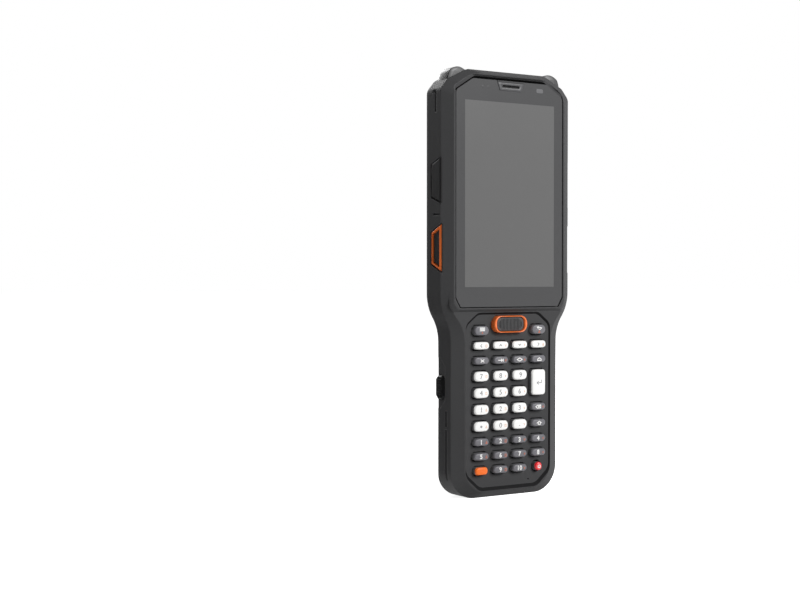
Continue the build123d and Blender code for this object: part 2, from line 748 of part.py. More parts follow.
def strap_slot(width, z, surface_d):
    """Slot for a strap with a bar left across its mouth."""
    cut = slab(rounded(width, STRAP_SLOT_H, STRAP_SLOT_H / 2 - 0.01, 0, z),
               surface_d - STRAP_SLOT_D, surface_d + 1)
    bar = Pos(surface_d - STRAP_BAR / 2 - 0.3, z) * RegularPolygon(STRAP_BAR / 2, 10)
    return cut - side_slab(bar, -width / 2, width / 2)


def rear_outer():
    """Outside of the rear moulding: bevelled back, camera part, hump and nose."""
    depth = SHELL_D - PARTING_D
    spread = outline(
        HEAD_HALF - BACK_IN_HEAD + BACK_IN_HEAD * depth / (SHELL_D - HEAD_EDGE_D),
        GRIP_HALF - BACK_IN_GRIP + BACK_IN_GRIP * depth / (SHELL_D - GRIP_EDGE_D),
        BACK_IN_FOOT - BACK_IN_FOOT * depth / (SHELL_D - FOOT_EDGE_D),
        BODY_TOP,
    )
    back = outline(
        HEAD_HALF - BACK_IN_HEAD,
        GRIP_HALF - BACK_IN_GRIP,
        BACK_IN_FOOT,
        BODY_TOP - BACK_IN_TOP,
        corner=BACK_CORNER,
    )
    shell = loft([at_depth(PARTING_D) * spread, at_depth(SHELL_D) * back], ruled=True)
    shell &= slab(body_outline(), PARTING_D, SHELL_D)
    shell += skirt(CAMERA_BASE_W, CAMERA_FLAT_W, CAMERA_D, SCOOP_TOP, HUMP_FOOT)
    shell += skirt(HUMP_BASE_W, HUMP_FLAT_W, HUMP_D, HUMP_FOOT, BODY_TOP - BACK_IN_TOP)
    camera = hump_section(CAMERA_BASE_W, CAMERA_FLAT_W, PARTING_D, CAMERA_D, 7)
    shell += column(camera, BATTERY_TOP + BATTERY_GAP, ARCH_Z + ARCH_SLOPE)
    hump = column(
        hump_section(HUMP_BASE_W, HUMP_FLAT_W, PARTING_D, HUMP_D, 6),
        HUMP_FOOT,
        BODY_TOP - NOSE_BELOW_TOP - 1,
    )
    lean = blank([(SHELL_D, HUMP_FOOT - 2), (CAMERA_D, ARCH_Z), (CAMERA_D, HUMP_FOOT - 2)])
    hump -= side_slab(lean, -HEAD_HALF, HEAD_HALF)
    shell += hump - arch_cutter()
    return shell + nose()


def skirt(base_w, flat_w, top_d, low, high):
    """Slanted foot along both sides of a raised part of the back."""
    outside, rise = SKIRT
    slope = (base_w - flat_w) * 3 / 8 / (top_d - PARTING_D)
    wall = base_w / 2 - slope * (SHELL_D + rise - PARTING_D)
    return column(
        symmetric(
            [
                (base_w / 2 + outside, PARTING_D),
                (base_w / 2 + outside, SHELL_D),
                (wall, SHELL_D + rise),
            ]
        ),
        low,
        high,
    )


def bay_outline(grow):
    half = BATTERY_W / 2 + grow
    return symmetric([(half, BATTERY_FOOT - grow), (half, BATTERY_TOP + grow)], 1.0)


def rear_housing():
    """Rear moulding with the battery bay, the scanner hump and the camera part."""
    shell = rear_outer()
    shell += slab(bay_outline(BATTERY_GAP + THIN_WALL), BATTERY_BAY_D - THIN_WALL, PARTING_D)
    head_low = BATTERY_TOP + 2 * THIN_WALL + 1
    head_high = BODY_TOP - CORNER_H - WALL
    cavity = block(2 * HEAD_INSIDE, PARTING_D, SHELL_D - WALL, head_low, head_high)
    for disc in at_screws(boss()):
        cavity -= slab(disc, PARTING_D, SHELL_D)
    camera_w = CAMERA_FLAT_W - 2 * WALL
    plinth_w = 2 * SPEAKER_X + SPEAKER_SLOT[0] + 0.4
    cavity += block(plinth_w, PARTING_D, SCOOP_D - WALL, head_low, ARCH_Z)
    cavity += block(camera_w, PARTING_D, CAMERA_D - WALL, SCOOP_TOP + 12, ARCH_Z)
    hump_w = HUMP_FLAT_W - 2 * WALL
    hump_high = BODY_TOP - NOSE_BELOW_TOP - WINDOW_SUNK - WINDOW[2] - WALL
    cavity += block(hump_w, PARTING_D, HUMP_D - WALL, ARCH_Z + ARCH_SLOPE, hump_high)
    shell -= cavity
    shell -= slab(bay_outline(BATTERY_GAP), BATTERY_BAY_D, HUMP_D)
    shell -= scoop_cutter()
    shell -= pry_channel()
    shell -= strap_slot(UPPER_SLOT_W, UPPER_SLOT_Z, CAMERA_D)
    shell -= camera_cuts()
    shell -= speaker_slots()
    shell -= window_cuts()
    shell -= contact_cuts()
    shell -= both_sides(latch_cuts())
    for disc in at_screws(RegularPolygon(SCREW_HOLE_R, 12, major_radius=False)):
        shell -= slab(disc, PARTING_D + SCREW_SEAT, HUMP_D)
    for disc in at_screws(shank_hole()):
        shell -= slab(disc, PARTING_D, SHELL_D)
    return shell


def pry_channel():
    """U-shaped finger channel round the battery's lower end."""
    half = GRIP_HALF - PRY_IN
    inner = BATTERY_W / 2
    slant = half - inner
    channel = symmetric(
        [(half, PRY_FOOT), (half, PRY_TOP - slant), (inner, PRY_TOP)], [1.5, 1.0, 0]
    )
    return slab(channel, SHELL_D - PRY_D, HUMP_D)


def camera_cuts():
    x, z = PILL_AT
    pill = Pos(x, z) * SlotOverall(PILL[0] + 2 * FIT, PILL[1] + 2 * FIT)
    cuts = slab(pill, CAMERA_D - PILL_D, CAMERA_D + 1)
    lens = Pos(x + LENS_OFFSET, z) * RegularPolygon(LENS_R, 12)
    return cuts + slab(lens, CAMERA_D - WALL - 1, CAMERA_D)


def camera_window():
    x, z = PILL_AT
    return slab(Pos(x, z) * SlotOverall(*PILL), CAMERA_D - PILL_D, CAMERA_D)


def speaker_slots():
    cuts = None
    for i in range(SPEAKER_SLOTS):
        z = SPEAKER_Z + SPEAKER_PITCH * (i - (SPEAKER_SLOTS - 1) / 2)
        slot = slab(Pos(SPEAKER_X, z) * Rectangle(*SPEAKER_SLOT), PARTING_D, SCOOP_D + 1)
        cuts = slot if cuts is None else cuts + slot
    return both_sides(cuts)


def speakers():
    width, height, thick = SPEAKER_BODY
    inside = SCOOP_D - WALL
    body = cut_corners(width, height, 1.5, SPEAKER_X - 1.0, SPEAKER_Z)
    right = slab(body, inside - thick, inside)
    return right, other_side(right)


def window_d():
    """Middle depth of the scan window."""
    return SHELL_D + HUMP_RISE / 2 - 1.2


def window_cuts():
    """Seat of the scan window in the nose and the shaft below it."""
    width, deep, thick = WINDOW
    top = BODY_TOP - NOSE_BELOW_TOP
    seat = top - WINDOW_SUNK - thick
    mouth = Pos(0, window_d()) * Rectangle(width + 2 * FIT, deep + 2 * FIT)
    shaft = Pos(0, window_d()) * Rectangle(width - 2.4, deep - 2.4)
    return column(mouth, seat, BODY_TOP + 2) + column(shaft, BODY_TOP - 12, BODY_TOP)


def scan_window():
    width, deep, thick = WINDOW
    seat = BODY_TOP - NOSE_BELOW_TOP - WINDOW_SUNK - thick
    return column(Pos(0, window_d()) * Rectangle(width, deep), seat, seat + thick)


def scan_engine():
    """Scanner module against the inside of the hump, with its two lenses up."""
    width, deep, tall = ENGINE
    far = HUMP_D - WALL
    middle = far - deep / 2
    top = BODY_TOP - 12.5
    body = column(Pos(0, middle) * Rectangle(width, deep), top - tall, top)
    for x, radius in ((-4.5, 3.0), (5.5, 2.2)):
        body += column(Pos(x, middle) * RegularPolygon(radius, 12), top, top + 1.6)
    return body


def contact_cuts():
    width, tall, z = CONTACTS
    slot = rounded(width + 2 * FIT, tall + 2 * FIT, 0.8, 0, z)
    return slab(slot, PARTING_D + FIT, SHELL_D)


def dock_contacts():
    """Insulator with a row of charging pads in the bevel under the back."""
    width, tall, z = CONTACTS
    seat = PARTING_D + FIT
    body = slab(rounded(width, tall, 0.7, 0, z), seat, seat + 1.0)
    pitch = width / CONTACT_COUNT
    for i in range(CONTACT_COUNT):
        x = pitch * (i - (CONTACT_COUNT - 1) / 2)
        body += slab(Pos(x, z) * Rectangle(pitch * 0.5, tall * 0.6), seat, seat + 1.3)
    return body


# ---- latches ----


def latch_shape(grow_d=0.0, grow_z=0.0):
    return cut_corners(
        LATCH_D + 2 * grow_d, LATCH_H + 2 * grow_z, LATCH_CUT, LATCH_AT_D, LATCH_Z
    )


def battery_latch():
    """Right latch button with a foot that holds it behind the housings' walls."""
    foot = GRIP_INSIDE - SEAT_GAP - FLANGE_T
    button = side_slab(latch_shape(), foot, GRIP_HALF + LATCH_PROUD)
    outer = button.faces().sort_by(Axis.X)[-1]
    button = chamfer(outer.edges(), LATCH_EDGE)
    return button + side_slab(latch_shape(0, FLANGE_LIP), foot, foot + FLANGE_T)


def latch_cuts():
    """Opening that both housings share, room behind it and the dish round it."""
    cuts = side_slab(latch_shape(RUNNING, RUNNING), GRIP_INSIDE, GRIP_HALF + 3)
    inner = GRIP_INSIDE - SEAT_GAP - FLANGE_T - LATCH_TRAVEL - RUNNING
    cuts += side_slab(latch_shape(RUNNING, FLANGE_LIP + RUNNING), inner, GRIP_INSIDE)
    return cuts + side_slab(cut_corners(*LATCH_DISH), GRIP_HALF - LATCH_DISH_D, GRIP_HALF + 1)


# ---- battery, bumpers, screws and board ----


def battery_pack():
    """Battery with its own outer cover, a scooped top end and a strap slot."""
    half = BATTERY_W / 2
    section = symmetric(
        [
            (half, BATTERY_BAY_D + SEAT_GAP),
            (half, SHELL_D + 1.0),
            (BATTERY_FLAT_W / 2 + 2.0, BATTERY_D),
        ],
        [1.0, 3.0, 7.5],
    )
    pack = column(section, BATTERY_FOOT, BATTERY_TOP)
    pack -= scoop_cutter()
    pack -= strap_slot(LOWER_SLOT_W, LOWER_SLOT_Z, BATTERY_D)
    width, height, z = LOGO_PLACE
    return pack - slab(rounded(width, height, width / 2 - 0.01, 0, z), BATTERY_D - 0.4, HUMP_D)


def corner_bumper():
    """Rubber bumper over the right top corner, full in front and thinner behind."""
    x_bend, x_in = HEAD_HALF - CORNER_BEND_W, HEAD_HALF - CORNER_W
    z_bend = BODY_TOP - CORNER_BEND_H
    foot = (x_bend - 0.3, z_bend - 0.6)
    front = [
        (x_bend - 0.9, z_bend + 1.9),
        (x_bend - 1.8, z_bend + 4.2),
        (x_bend - 3.7, TOTAL_H - 0.8),
    ]
    rear = [
        (x_bend - 1.9, z_bend + 1.3),
        (x_bend - 3.3, z_bend + 2.5),
        (x_bend - 4.8, z_bend + 3.9),
    ]
    rest = [
        (x_in + 4.8, TOTAL_H),
        (x_in + 2.5, TOTAL_H - 0.2),
        (x_in - 0.4, BODY_TOP - 0.5),
        (x_in + 1.5, BODY_TOP - 2.6),
        (x_bend - 2.5, z_bend - 0.9),
    ]
    ends = [at_depth(BUMPER_D[0]) * blank([foot] + front + rest)]
    ends.append(at_depth(BUMPER_D[1]) * blank([foot] + rear + rest))
    return loft(ends, ruled=True) - slab(body_outline(), 0, PARTING_D)


def screw(x, z):
    """Screw from the back: head in its counterbore and shank into the boss."""
    head_d = PARTING_D + SCREW_SEAT
    head = slab(Pos(x, z) * RegularPolygon(SCREW_HEAD_R, 10), head_d, head_d + SCREW_HEAD_T)
    shank = slab(Pos(x, z) * RegularPolygon(SCREW_R, 6), PARTING_D - SCREW_L + 0.5, head_d)
    return head + shank


def housing_screws():
    return [screw(side * x, z) for x, z in screw_places() for side in (1, -1)]


def main_board():
    """Circuit board on the front housing's ledges, with shields and connectors."""
    edge = outline(
        HEAD_INSIDE - 2.6, GRIP_INSIDE - 0.4, THIN_WALL + WALL + 1, BODY_TOP - HEAD_WALL - 1
    )
    board = slab(edge, BOARD_D, BOARD_D + BOARD_T)
    for disc in at_screws(boss(0.4)):
        board -= slab(disc, 0, SHELL_D)
    back = BOARD_D + BOARD_T
    for width, rise, low, high in SHIELDS:
        board += block(width, back, back + rise, low, high)
    width, low, high = CONNECTOR
    return board + block(width, back, BATTERY_BAY_D - THIN_WALL - BATTERY_GAP, low, high)


save("front_housing", front_housing())
save("rear_housing", rear_housing())
save("display_glass", display_glass())
save("lcd_module", lcd_module())
save("keypad_membrane", keypad_membrane())
save("main_board", main_board())
save("scan_engine", scan_engine())
save("scan_window", scan_window())
save("camera_window", camera_window())
save("speakers", *speakers())
save("dock_contacts", dock_contacts())
save("corner_bumpers", corner_bumper(), other_side(corner_bumper()))
save("housing_screws", *housing_screws())
save("battery_pack", battery_pack())
save("right_battery_latch", battery_latch())
save("left_battery_latch", other_side(battery_latch()))
save("right_trigger", side_trigger())
save("left_trigger", other_side(side_trigger()))
save("trigger_bezels", side_trigger_bezel(), other_side(side_trigger_bezel()))
save("function_key", side_key())
save("volume_rocker", other_side(side_key()))
save("scan_key", scan_key())
save("scan_key_bezel", scan_key_bezel())
for name, x, z, cap in key_rows():
    save(f"key_{name}", key_piece(x, z, cap))
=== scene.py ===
"""Handheld data terminal: finishes, key tops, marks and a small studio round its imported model."""
import json
import math

import bpy
from bpy.props import FloatProperty, FloatVectorProperty, PointerProperty
from mathutils import Matrix, Vector


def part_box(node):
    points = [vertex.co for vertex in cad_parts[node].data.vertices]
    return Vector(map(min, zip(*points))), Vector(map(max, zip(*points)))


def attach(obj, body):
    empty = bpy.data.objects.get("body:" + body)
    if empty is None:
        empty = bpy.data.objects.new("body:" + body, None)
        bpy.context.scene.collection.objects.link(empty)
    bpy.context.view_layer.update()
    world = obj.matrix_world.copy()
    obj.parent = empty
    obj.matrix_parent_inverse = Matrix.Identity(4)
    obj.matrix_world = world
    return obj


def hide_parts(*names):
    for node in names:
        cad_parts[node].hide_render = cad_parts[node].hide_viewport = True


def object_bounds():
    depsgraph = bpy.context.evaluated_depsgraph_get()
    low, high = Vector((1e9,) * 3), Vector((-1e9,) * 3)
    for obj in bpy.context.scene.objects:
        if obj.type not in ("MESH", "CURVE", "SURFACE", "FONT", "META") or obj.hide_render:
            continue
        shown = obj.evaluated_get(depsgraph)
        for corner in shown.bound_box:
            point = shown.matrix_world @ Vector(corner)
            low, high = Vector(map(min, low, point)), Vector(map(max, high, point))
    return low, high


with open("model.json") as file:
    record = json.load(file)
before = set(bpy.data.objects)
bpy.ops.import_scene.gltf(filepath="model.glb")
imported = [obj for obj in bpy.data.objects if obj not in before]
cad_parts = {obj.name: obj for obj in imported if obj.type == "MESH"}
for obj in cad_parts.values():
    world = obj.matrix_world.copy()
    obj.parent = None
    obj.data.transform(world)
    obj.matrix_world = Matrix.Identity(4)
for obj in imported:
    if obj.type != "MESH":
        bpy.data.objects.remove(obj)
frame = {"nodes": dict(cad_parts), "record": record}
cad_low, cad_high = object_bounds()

bl_info = {
    "name": "Handheld data terminal",
    "version": (1, 0, 0),
    "blender": (4, 5, 0),
    "location": "3D View > Sidebar > Terminal",
    "description": "Finishes and details for a handheld data terminal with a keypad",
    "category": "Object",
}

MM = 0.001
ROOT = "terminal"
KEY_TOPS_Y = cad_low[1]
RIGHT, LEFT = Vector((1, 0, 0)), Vector((-1, 0, 0))
FRONT, REAR = Vector((0, -1, 0)), Vector((0, 1, 0))

# Depths of faces in millimetres, measured back from the key tops
GLASS_D = 1.0
WINDOW_D = GLASS_D - 0.02
PANEL_D = 2.8
KEY_FOOT_D = 4.6
SCREW_D = 17.5
HUMP_D = 32.4
CAMERA_D = 29.1
BATTERY_D = 29.4

# Half width, foot and top of the lit area, the glass and the keypad's panel
SCREEN = (26.1, 99.7, 186.8)
GLASS = (31.1, 90.3, 197.0)
PANEL = (24.34, 5.1, 86.7)

# Places across, back and up, and of the screws of one side across and up
SENSORS = ((-16, WINDOW_D, 193.4), (-12.8, WINDOW_D, 193.4))
FRONT_CAMERA = (17.4, WINDOW_D, 193.6)
LABEL = (-1.0, HUMP_D + 0.08, 183.2)
READER_MARK = (-1.0, HUMP_D, 173.6)
CAMERA_RING = (9.6, CAMERA_D + 0.5, 147.9)
CAMERA_LENS = (9.6, CAMERA_D + 0.3, 147.9)
FLASH = (1.6, CAMERA_D + 0.2, 147.9)
RELEASE_MARK = (0, BATTERY_D, 83.4)
EARPIECE_Z = 194.4
SCAN_Z = 82.0
SCREWS = ((28, 194.6), (30.5, 167.4), (30.5, 133), (30.5, 93), (28.4, 61.6), (25.6, 7.8))

# Count and pitch of things in a row
SCAN_RIBS = (17, 0.82)
EARPIECE_BARS = (13, 0.75)
LATCH_RIBS = (7, 1.15)
CHARGING_PADS = (8, 2.5)

# Prints of the back: thickness, how deep every print is let in, and width of the reader's lines
REAR_PRINT = 0.03
PRINT_SUNK = 0.01
READER_LINE = 0.35


def linear(hex_colour):
    """Linear RGBA of an sRGB hex colour."""
    parts = [int(hex_colour[i:i + 2], 16) / 255 for i in (1, 3, 5)]
    parts = [c / 12.92 if c <= 0.04045 else ((c + 0.055) / 1.055) ** 2.4 for c in parts]
    return (*parts, 1.0)


def colour_property(name, description, hex_colour):
    return FloatVectorProperty(
        name=name, description=description, subtype="COLOR", size=4, min=0, max=1,
        default=linear(hex_colour),
    )


def length_property(name, description, millimetres):
    return FloatProperty(
        name=name, description=description, unit="LENGTH", precision=5, default=millimetres * MM
    )


# ---- what a user would change ----


class TerminalHousingLook(bpy.types.PropertyGroup):
    housing: colour_property("Housing", "Moulded polycarbonate blend of both housings", "#424243")
    controls: colour_property("Controls", "Side keys, triggers and battery latches", "#303031")
    rubber: colour_property("Rubber", "Corner bumpers", "#3a3a3b")
    orange: colour_property("Orange", "Rings round the triggers and the scan key", "#fa7a35")
    label: colour_property("Label", "Blank label under the scan window", "#f2e61c")
    grain: length_property("Grain", "Size of the sparked grain", 0.45)
    edge: length_property("Edge", "Radius that the mould leaves on the controls' edges", 0.15)
    # the paler band along the edges is a painted highlight as well as wear
    highlit_and_rubbed: length_property("Rubbed", "How far in from an edge the plastic is rubbed paler", 0.8)


class TerminalKeyLook(bpy.types.PropertyGroup):
    white: colour_property("White keys", "Digits, arrows and the enter key", "#fafaf8")
    grey: colour_property("Grey keys", "Function and editing keys", "#69686d")
    orange: colour_property("Orange key", "Function shift key", "#fc731a")
    red: colour_property("Red key", "Power key", "#fa2a33")
    crown: length_property("Crown", "How far the sides of a key top fall below its middle", 0.5)
    sunk: length_property("Sunk", "Middle of a key top below the scan key's ring", 0.1)
    draft: length_property("Draft", "How much narrower a key is at its top than at its foot", 0.15)
    shell: length_property("Shell", "Height of a key's coloured shell over its grey base", 1.0)
    bow: length_property("Bow", "How far a key's long edges bow out", 0.3)
    edge: length_property("Edge", "Radius round a key top", 0.45)
    print_rise: length_property("Print", "Thickness of the printed marks", 0.05)


class TerminalDisplayLook(bpy.types.PropertyGroup):
    # greys of the border and the screen also paint the cover glass's reflection of the bright room
    border: colour_property("Border", "Printed border behind the cover glass", "#4e4e4f")
    screen: colour_property("Screen", "Display that is switched off", "#686868")
    pixel: length_property("Pixel", "Pitch of the display's pixel rows, drawn coarser", 0.4)


class TerminalStudio(bpy.types.PropertyGroup):
    floor: colour_property("Floor", "Paper sweep under the terminal", "#f2f2f2")
    air: FloatProperty(name="Air", description="Level of the even studio light", default=0.155)
    key_power: FloatProperty(
        name="Key light", description="Softbox in front, at the right", default=20.0, unit="POWER"
    )
    top_power: FloatProperty(
        name="Top light", description="Softbox behind and above", default=8.5, unit="POWER"
    )
    view_turn: FloatProperty(
        name="Turn", description="Camera's turn about the terminal", subtype="ANGLE",
        default=math.radians(31.92),
    )


# ---- nodes and materials ----


def add_node(tree, kind, settings=None, links=None):
    """Add a node, set its properties and constant inputs, and link its inputs."""
    node = tree.nodes.new("ShaderNode" + kind)
    for name, value in (settings or {}).items():
        if isinstance(name, int) or name in node.inputs:
            node.inputs[name].default_value = value
        else:
            setattr(node, name, value)
    for name, source in (links or {}).items():
        tree.links.new(source, node.inputs[name])
    return node


def new_material(name):
    """Node material, its tree and output, and the object's coordinates."""
    material = bpy.data.materials.new(name)
    material.use_nodes = True
    tree = material.node_tree
    tree.nodes.clear()
    place = add_node(tree, "TexCoord").outputs["Object"]
    return material, tree, add_node(tree, "OutputMaterial"), place


def edge_normal_and_painted_highlight(tree, radius, shine):
    """Normal turned over the edges within a radius, and the painted highlight and wear that make
    them paler.
    """
    rounded = add_node(tree, "Bevel", {"samples": 6, "Radius": radius}).outputs["Normal"]
    flat = add_node(tree, "NewGeometry").outputs["Normal"]
    level = add_node(tree, "VectorMath", {"operation": "DOT_PRODUCT"}, {0: rounded, 1: flat})
    paler = add_node(
        tree, "MapRange",
        {"From Min": 0.85, "From Max": 0.99, "To Min": shine, "To Max": 1.0},
        {"Value": level.outputs["Value"]},
    )
    return rounded, paler.outputs["Result"]


def moulded(
    name, colour, roughness, grain=0.45 * MM, depth=0.02, specular=0.5, tint=0.06, coat=0.0,
    edge=None, shine=1.0,
):
    """Moulded plastic: grain as bump, faint mottling from handling, and edges painted paler as
    highlight and wear.
    """
    material, tree, output, place = new_material(name)
    grit = add_node(
        tree, "TexNoise", {"Scale": 1 / grain, "Detail": 3.0, "Roughness": 0.6}, {"Vector": place}
    ).outputs["Fac"]
    bump = add_node(tree, "Bump", {"Strength": 0.6, "Distance": depth * MM}, {"Height": grit})
    # handling marks are about 20 mm across
    mottle = add_node(
        tree, "TexNoise", {"Scale": 50.0, "Detail": 4.0}, {"Vector": place}
    ).outputs["Fac"]
    dull = add_node(
        tree, "MapRange", {"To Min": roughness - 0.05, "To Max": roughness + 0.05},
        {"Value": mottle},
    ).outputs["Result"]
    shade = add_node(
        tree, "MapRange", {"To Min": 1 - tint, "To Max": 1 + tint}, {"Value": mottle}
    ).outputs["Result"]
    # edges painted paler: a painted highlight as well as wear
    if edge:
        rounded, paler = edge_normal_and_painted_highlight(tree, edge, shine)
        tree.links.new(rounded, bump.inputs["Normal"])
        shade = add_node(
            tree, "Math", {"operation": "MULTIPLY"}, {0: shade, 1: paler}
        ).outputs[0]
    base = add_node(
        tree, "Mix",
        {"data_type": "RGBA", "blend_type": "MULTIPLY", 0: 1.0, 6: tuple(colour)},
        {7: shade},
    ).outputs[2]
    shader = add_node(
        tree, "BsdfPrincipled",
        {"IOR": 1.5, "Specular IOR Level": specular, "Coat Weight": coat, "Coat Roughness": 0.2},
        {"Base Color": base, "Roughness": dull, "Normal": bump.outputs["Normal"]},
    )
    tree.links.new(shader.outputs["BSDF"], output.inputs["Surface"])
    return material


# A wave texture of scale 1 repeats at this length
WAVE_PITCH = 0.314


def screen_glass(look):
    """Strengthened glass over a printed border and a grey panel with pixel rows; the greys paint the
    glass's reflection too.
    """
    material, tree, output, place = new_material("strengthened_cover_glass")
    axes = add_node(tree, "SeparateXYZ", {}, {0: place}).outputs
    half, low, high = (value * MM for value in SCREEN)
    across = add_node(tree, "Math", {"operation": "ABSOLUTE"}, {0: axes["X"]}).outputs[0]
    across = add_node(tree, "Math", {"operation": "LESS_THAN", 1: half}, {0: across}).outputs[0]
    upward = add_node(
        tree, "Math", {"operation": "COMPARE", 1: (low + high) / 2, 2: (high - low) / 2},
        {0: axes["Z"]},
    ).outputs[0]
    lit = add_node(tree, "Math", {"operation": "MULTIPLY"}, {0: across, 1: upward}).outputs[0]
    rows = add_node(
        tree, "TexWave",
        {"wave_type": "BANDS", "bands_direction": "Z", "Scale": WAVE_PITCH / look.pixel},
        {"Vector": place},
    )
    weave = add_node(
        tree, "MapRange", {"To Min": 0.97, "To Max": 1.03}, {"Value": rows.outputs["Fac"]}
    ).outputs["Result"]
    # grey screen: painted reflection of the bright room over the display
    panel = add_node(
        tree, "Mix",
        {"data_type": "RGBA", "blend_type": "MULTIPLY", 0: 1.0, 6: tuple(look.screen)},
        {7: weave},
    ).outputs[2]
    face = add_node(
        tree, "Mix", {"data_type": "RGBA", 6: tuple(look.border)}, {0: lit, 7: panel}
    )
    # smears of wiping, about 20 mm across
    smear = add_node(
        tree, "TexNoise", {"Scale": 45.0, "Detail": 2.0}, {"Vector": place}
    ).outputs["Fac"]
    wiped = add_node(
        tree, "MapRange", {"To Min": 0.16, "To Max": 0.24}, {"Value": smear}
    ).outputs["Result"]
    shader = add_node(
        tree, "BsdfPrincipled", {"IOR": 1.5, "Specular IOR Level": 0.18},
        {"Base Color": face.outputs[2], "Roughness": wiped},
    )
    tree.links.new(shader.outputs["BSDF"], output.inputs["Surface"])
    return material


def metal(name, colour, roughness):
    """Plated or oxidised steel: reflections broken by fine drawing lines."""
    material, tree, output, place = new_material(name)
    # drawing lines about 0.2 mm apart, coarser than real so that they show
    lines = add_node(
        tree, "TexNoise", {"Scale": 5000.0, "Detail": 1.0}, {"Vector": place}
    ).outputs["Fac"]
    dull = add_node(
        tree, "MapRange", {"To Min": roughness - 0.06, "To Max": roughness + 0.06},
        {"Value": lines},
    ).outputs["Result"]
    shader = add_node(
        tree, "BsdfPrincipled", {"Base Color": colour, "Metallic": 1.0},
        {"Roughness": dull},
    )
    tree.links.new(shader.outputs["BSDF"], output.inputs["Surface"])
    return material


# Plain moulded finishes: material, colour, roughness, grain's depth in millimetres and specular
PLAIN_FINISHES = {
    # silicone membrane under the keys: matt dark rubber
    "silicone": ("silicone_rubber", "#1c1c1c", 0.6, 0.01, 0.3),
    # solder mask of the board: green lacquer over copper
    "circuit_board": ("solder_mask", "#12351f", 0.35, 0.01, 0.5),
    "module_black": ("glass_filled_nylon", "#1a1a1a", 0.5, 0.02, 0.4),
    "display_unit": ("display_backplate", "#262628", 0.4, 0.01, 0.4),
    # glass-filled nylon of the latches: near black, with a dull sheen on the ribs
    "latch": ("satin_nylon", "#1b1b1c", 0.5, 0.006, 0.3),
    # soft-touch rubber of the scan key's pad, and the keys' grey bases, darker than the tops
    # so that they also paint the shade on the keys' lower walls
    "pad": ("soft_pad_rubber", "#4a4a4b", 0.6, 0.01, 0.3),
    "skirt": ("key_base_silicone", "#6c6c6e", 0.6, 0.01, 0.1),
    "trim": ("satin_painted_trim", "#424244", 0.35, 0.003, 0.4),
    # darker step round the keypad: painted shadow in the keypad's recess, wider below and above
    "step": ("rough_step", "#131314", 0.7, 0.03, 0.1),
    # smooth windows of the front camera and of the sensors
    "sensor": ("ink_window", "#646466", 0.3, 0.001, 0.3),
    "pinhole": ("tinted_lens", "#3a3a3b", 0.3, 0.001, 0.3),
    # flat printing inks
    "print_grey": ("grey_print_ink", "#8b8b8d", 0.6, 0.002, 0.3),
    "print_white": ("white_print_ink", "#f4f4f2", 0.6, 0.002, 0.3),
    "print_orange": ("orange_print_ink", "#c2705a", 0.6, 0.002, 0.3),
    "print_peach": ("peach_print_ink", "#f0cdb8", 0.6, 0.002, 0.3),
}


def finishes():
    """Every finish by its slot in the record, made once."""
    scene = bpy.context.scene
    made = bpy.data.materials
    if "sparked_pc_abs" in made:
        names = json.loads(scene["terminal_finishes"])
        return {slot: made[name] for slot, name in names.items()}
    body, keys = scene.terminal_housing, scene.terminal_keys
    grain = body.grain
    slots = {
        # spark-eroded PC/ABS: matt charcoal whose grain breaks every highlight, painted paler
        # along the edges as a highlight and as wear
        "housing": moulded(
            "sparked_pc_abs", body.housing, 0.55, grain, 0.03, 0.1, edge=body.highlit_and_rubbed, shine=1.8
        ),
        "glass": screen_glass(scene.terminal_display),
        # satin ABS of the pressed parts, a touch darker and smoother than the housing, with a
        # stronger painted highlight and wear along the edges
        "control_black": moulded(
            "satin_abs", body.controls, 0.45, grain, 0.015, 0.3, edge=body.highlit_and_rubbed, shine=2.8
        ),
        # gloss ABS in safety orange: clean highlights along the ring
        "orange_trim": moulded("gloss_orange_abs", body.orange, 0.3, grain, 0.004, 0.5, 0.03, 0.3),
        # double-shot polycarbonate key tops: bright, nearly smooth, soft highlight
        "key_white": moulded("white_key_pc", keys.white, 0.35, grain, 0.004, 0.5, 0.02),
        "key_grey": moulded("grey_key_pc", keys.grey, 0.38, grain, 0.004, 0.5, 0.04),
        "key_orange": moulded("orange_key_pc", keys.orange, 0.35, grain, 0.004, 0.5, 0.03),
        "key_red": moulded("red_key_pc", keys.red, 0.2, grain, 0.003, 0.5, 0.03, 0.4),
        # smoked acrylic windows: near black with a sharp reflection and a trace of haze
        "dark_window": moulded("smoked_acrylic", linear("#0b0a0c"), 0.11, 3 * MM, 0.001, 0.5, 0.03),
        # thermoplastic rubber: dark, with a broad soft sheen on the faces that look up
        "bumper": moulded("moulded_tpu", body.rubber, 0.42, 0.6 * MM, 0.02, 0.5),
        # black-oxide steel screws: dim, warm highlights
        "screw_steel": metal("black_oxide_steel", linear("#3a3836"), 0.4),
        # gold-plated charging pads
        "contact_metal": metal("gold_plate", linear("#d9b45a"), 0.25),
        # die-cast frame of the scanner module
        "module_metal": metal("die_cast_zinc", linear("#9c9c9e"), 0.4),
        # closed-cell foam in the display's groove: black, no highlight, and painted shade of the
        # groove, widest under the top rim
        "gasket": moulded("foam_gasket", linear("#0c0c0c"), 0.9, 0.3 * MM, 0.02, 0.05),
        # vinyl label: flat, slightly glossy saturated yellow
        "label": moulded("yellow_vinyl", body.label, 0.4, 1.2 * MM, 0.004, 0.4, 0.03),
        "flash": moulded("frosted_lens", linear("#d8d2a8"), 0.3, 0.3 * MM, 0.01, 0.5, 0.03),
        # satin nickel lip that catches the light above the earpiece
        "nickel": metal("satin_nickel", linear("#b9b7b2"), 0.3),
    }
    for slot, (name, colour, roughness, depth, specular) in PLAIN_FINISHES.items():
        slots[slot] = moulded(name, linear(colour), roughness, grain, depth, specular)
    scene["terminal_finishes"] = json.dumps({slot: item.name for slot, item in slots.items()})
    return slots


# ---- meshes ----


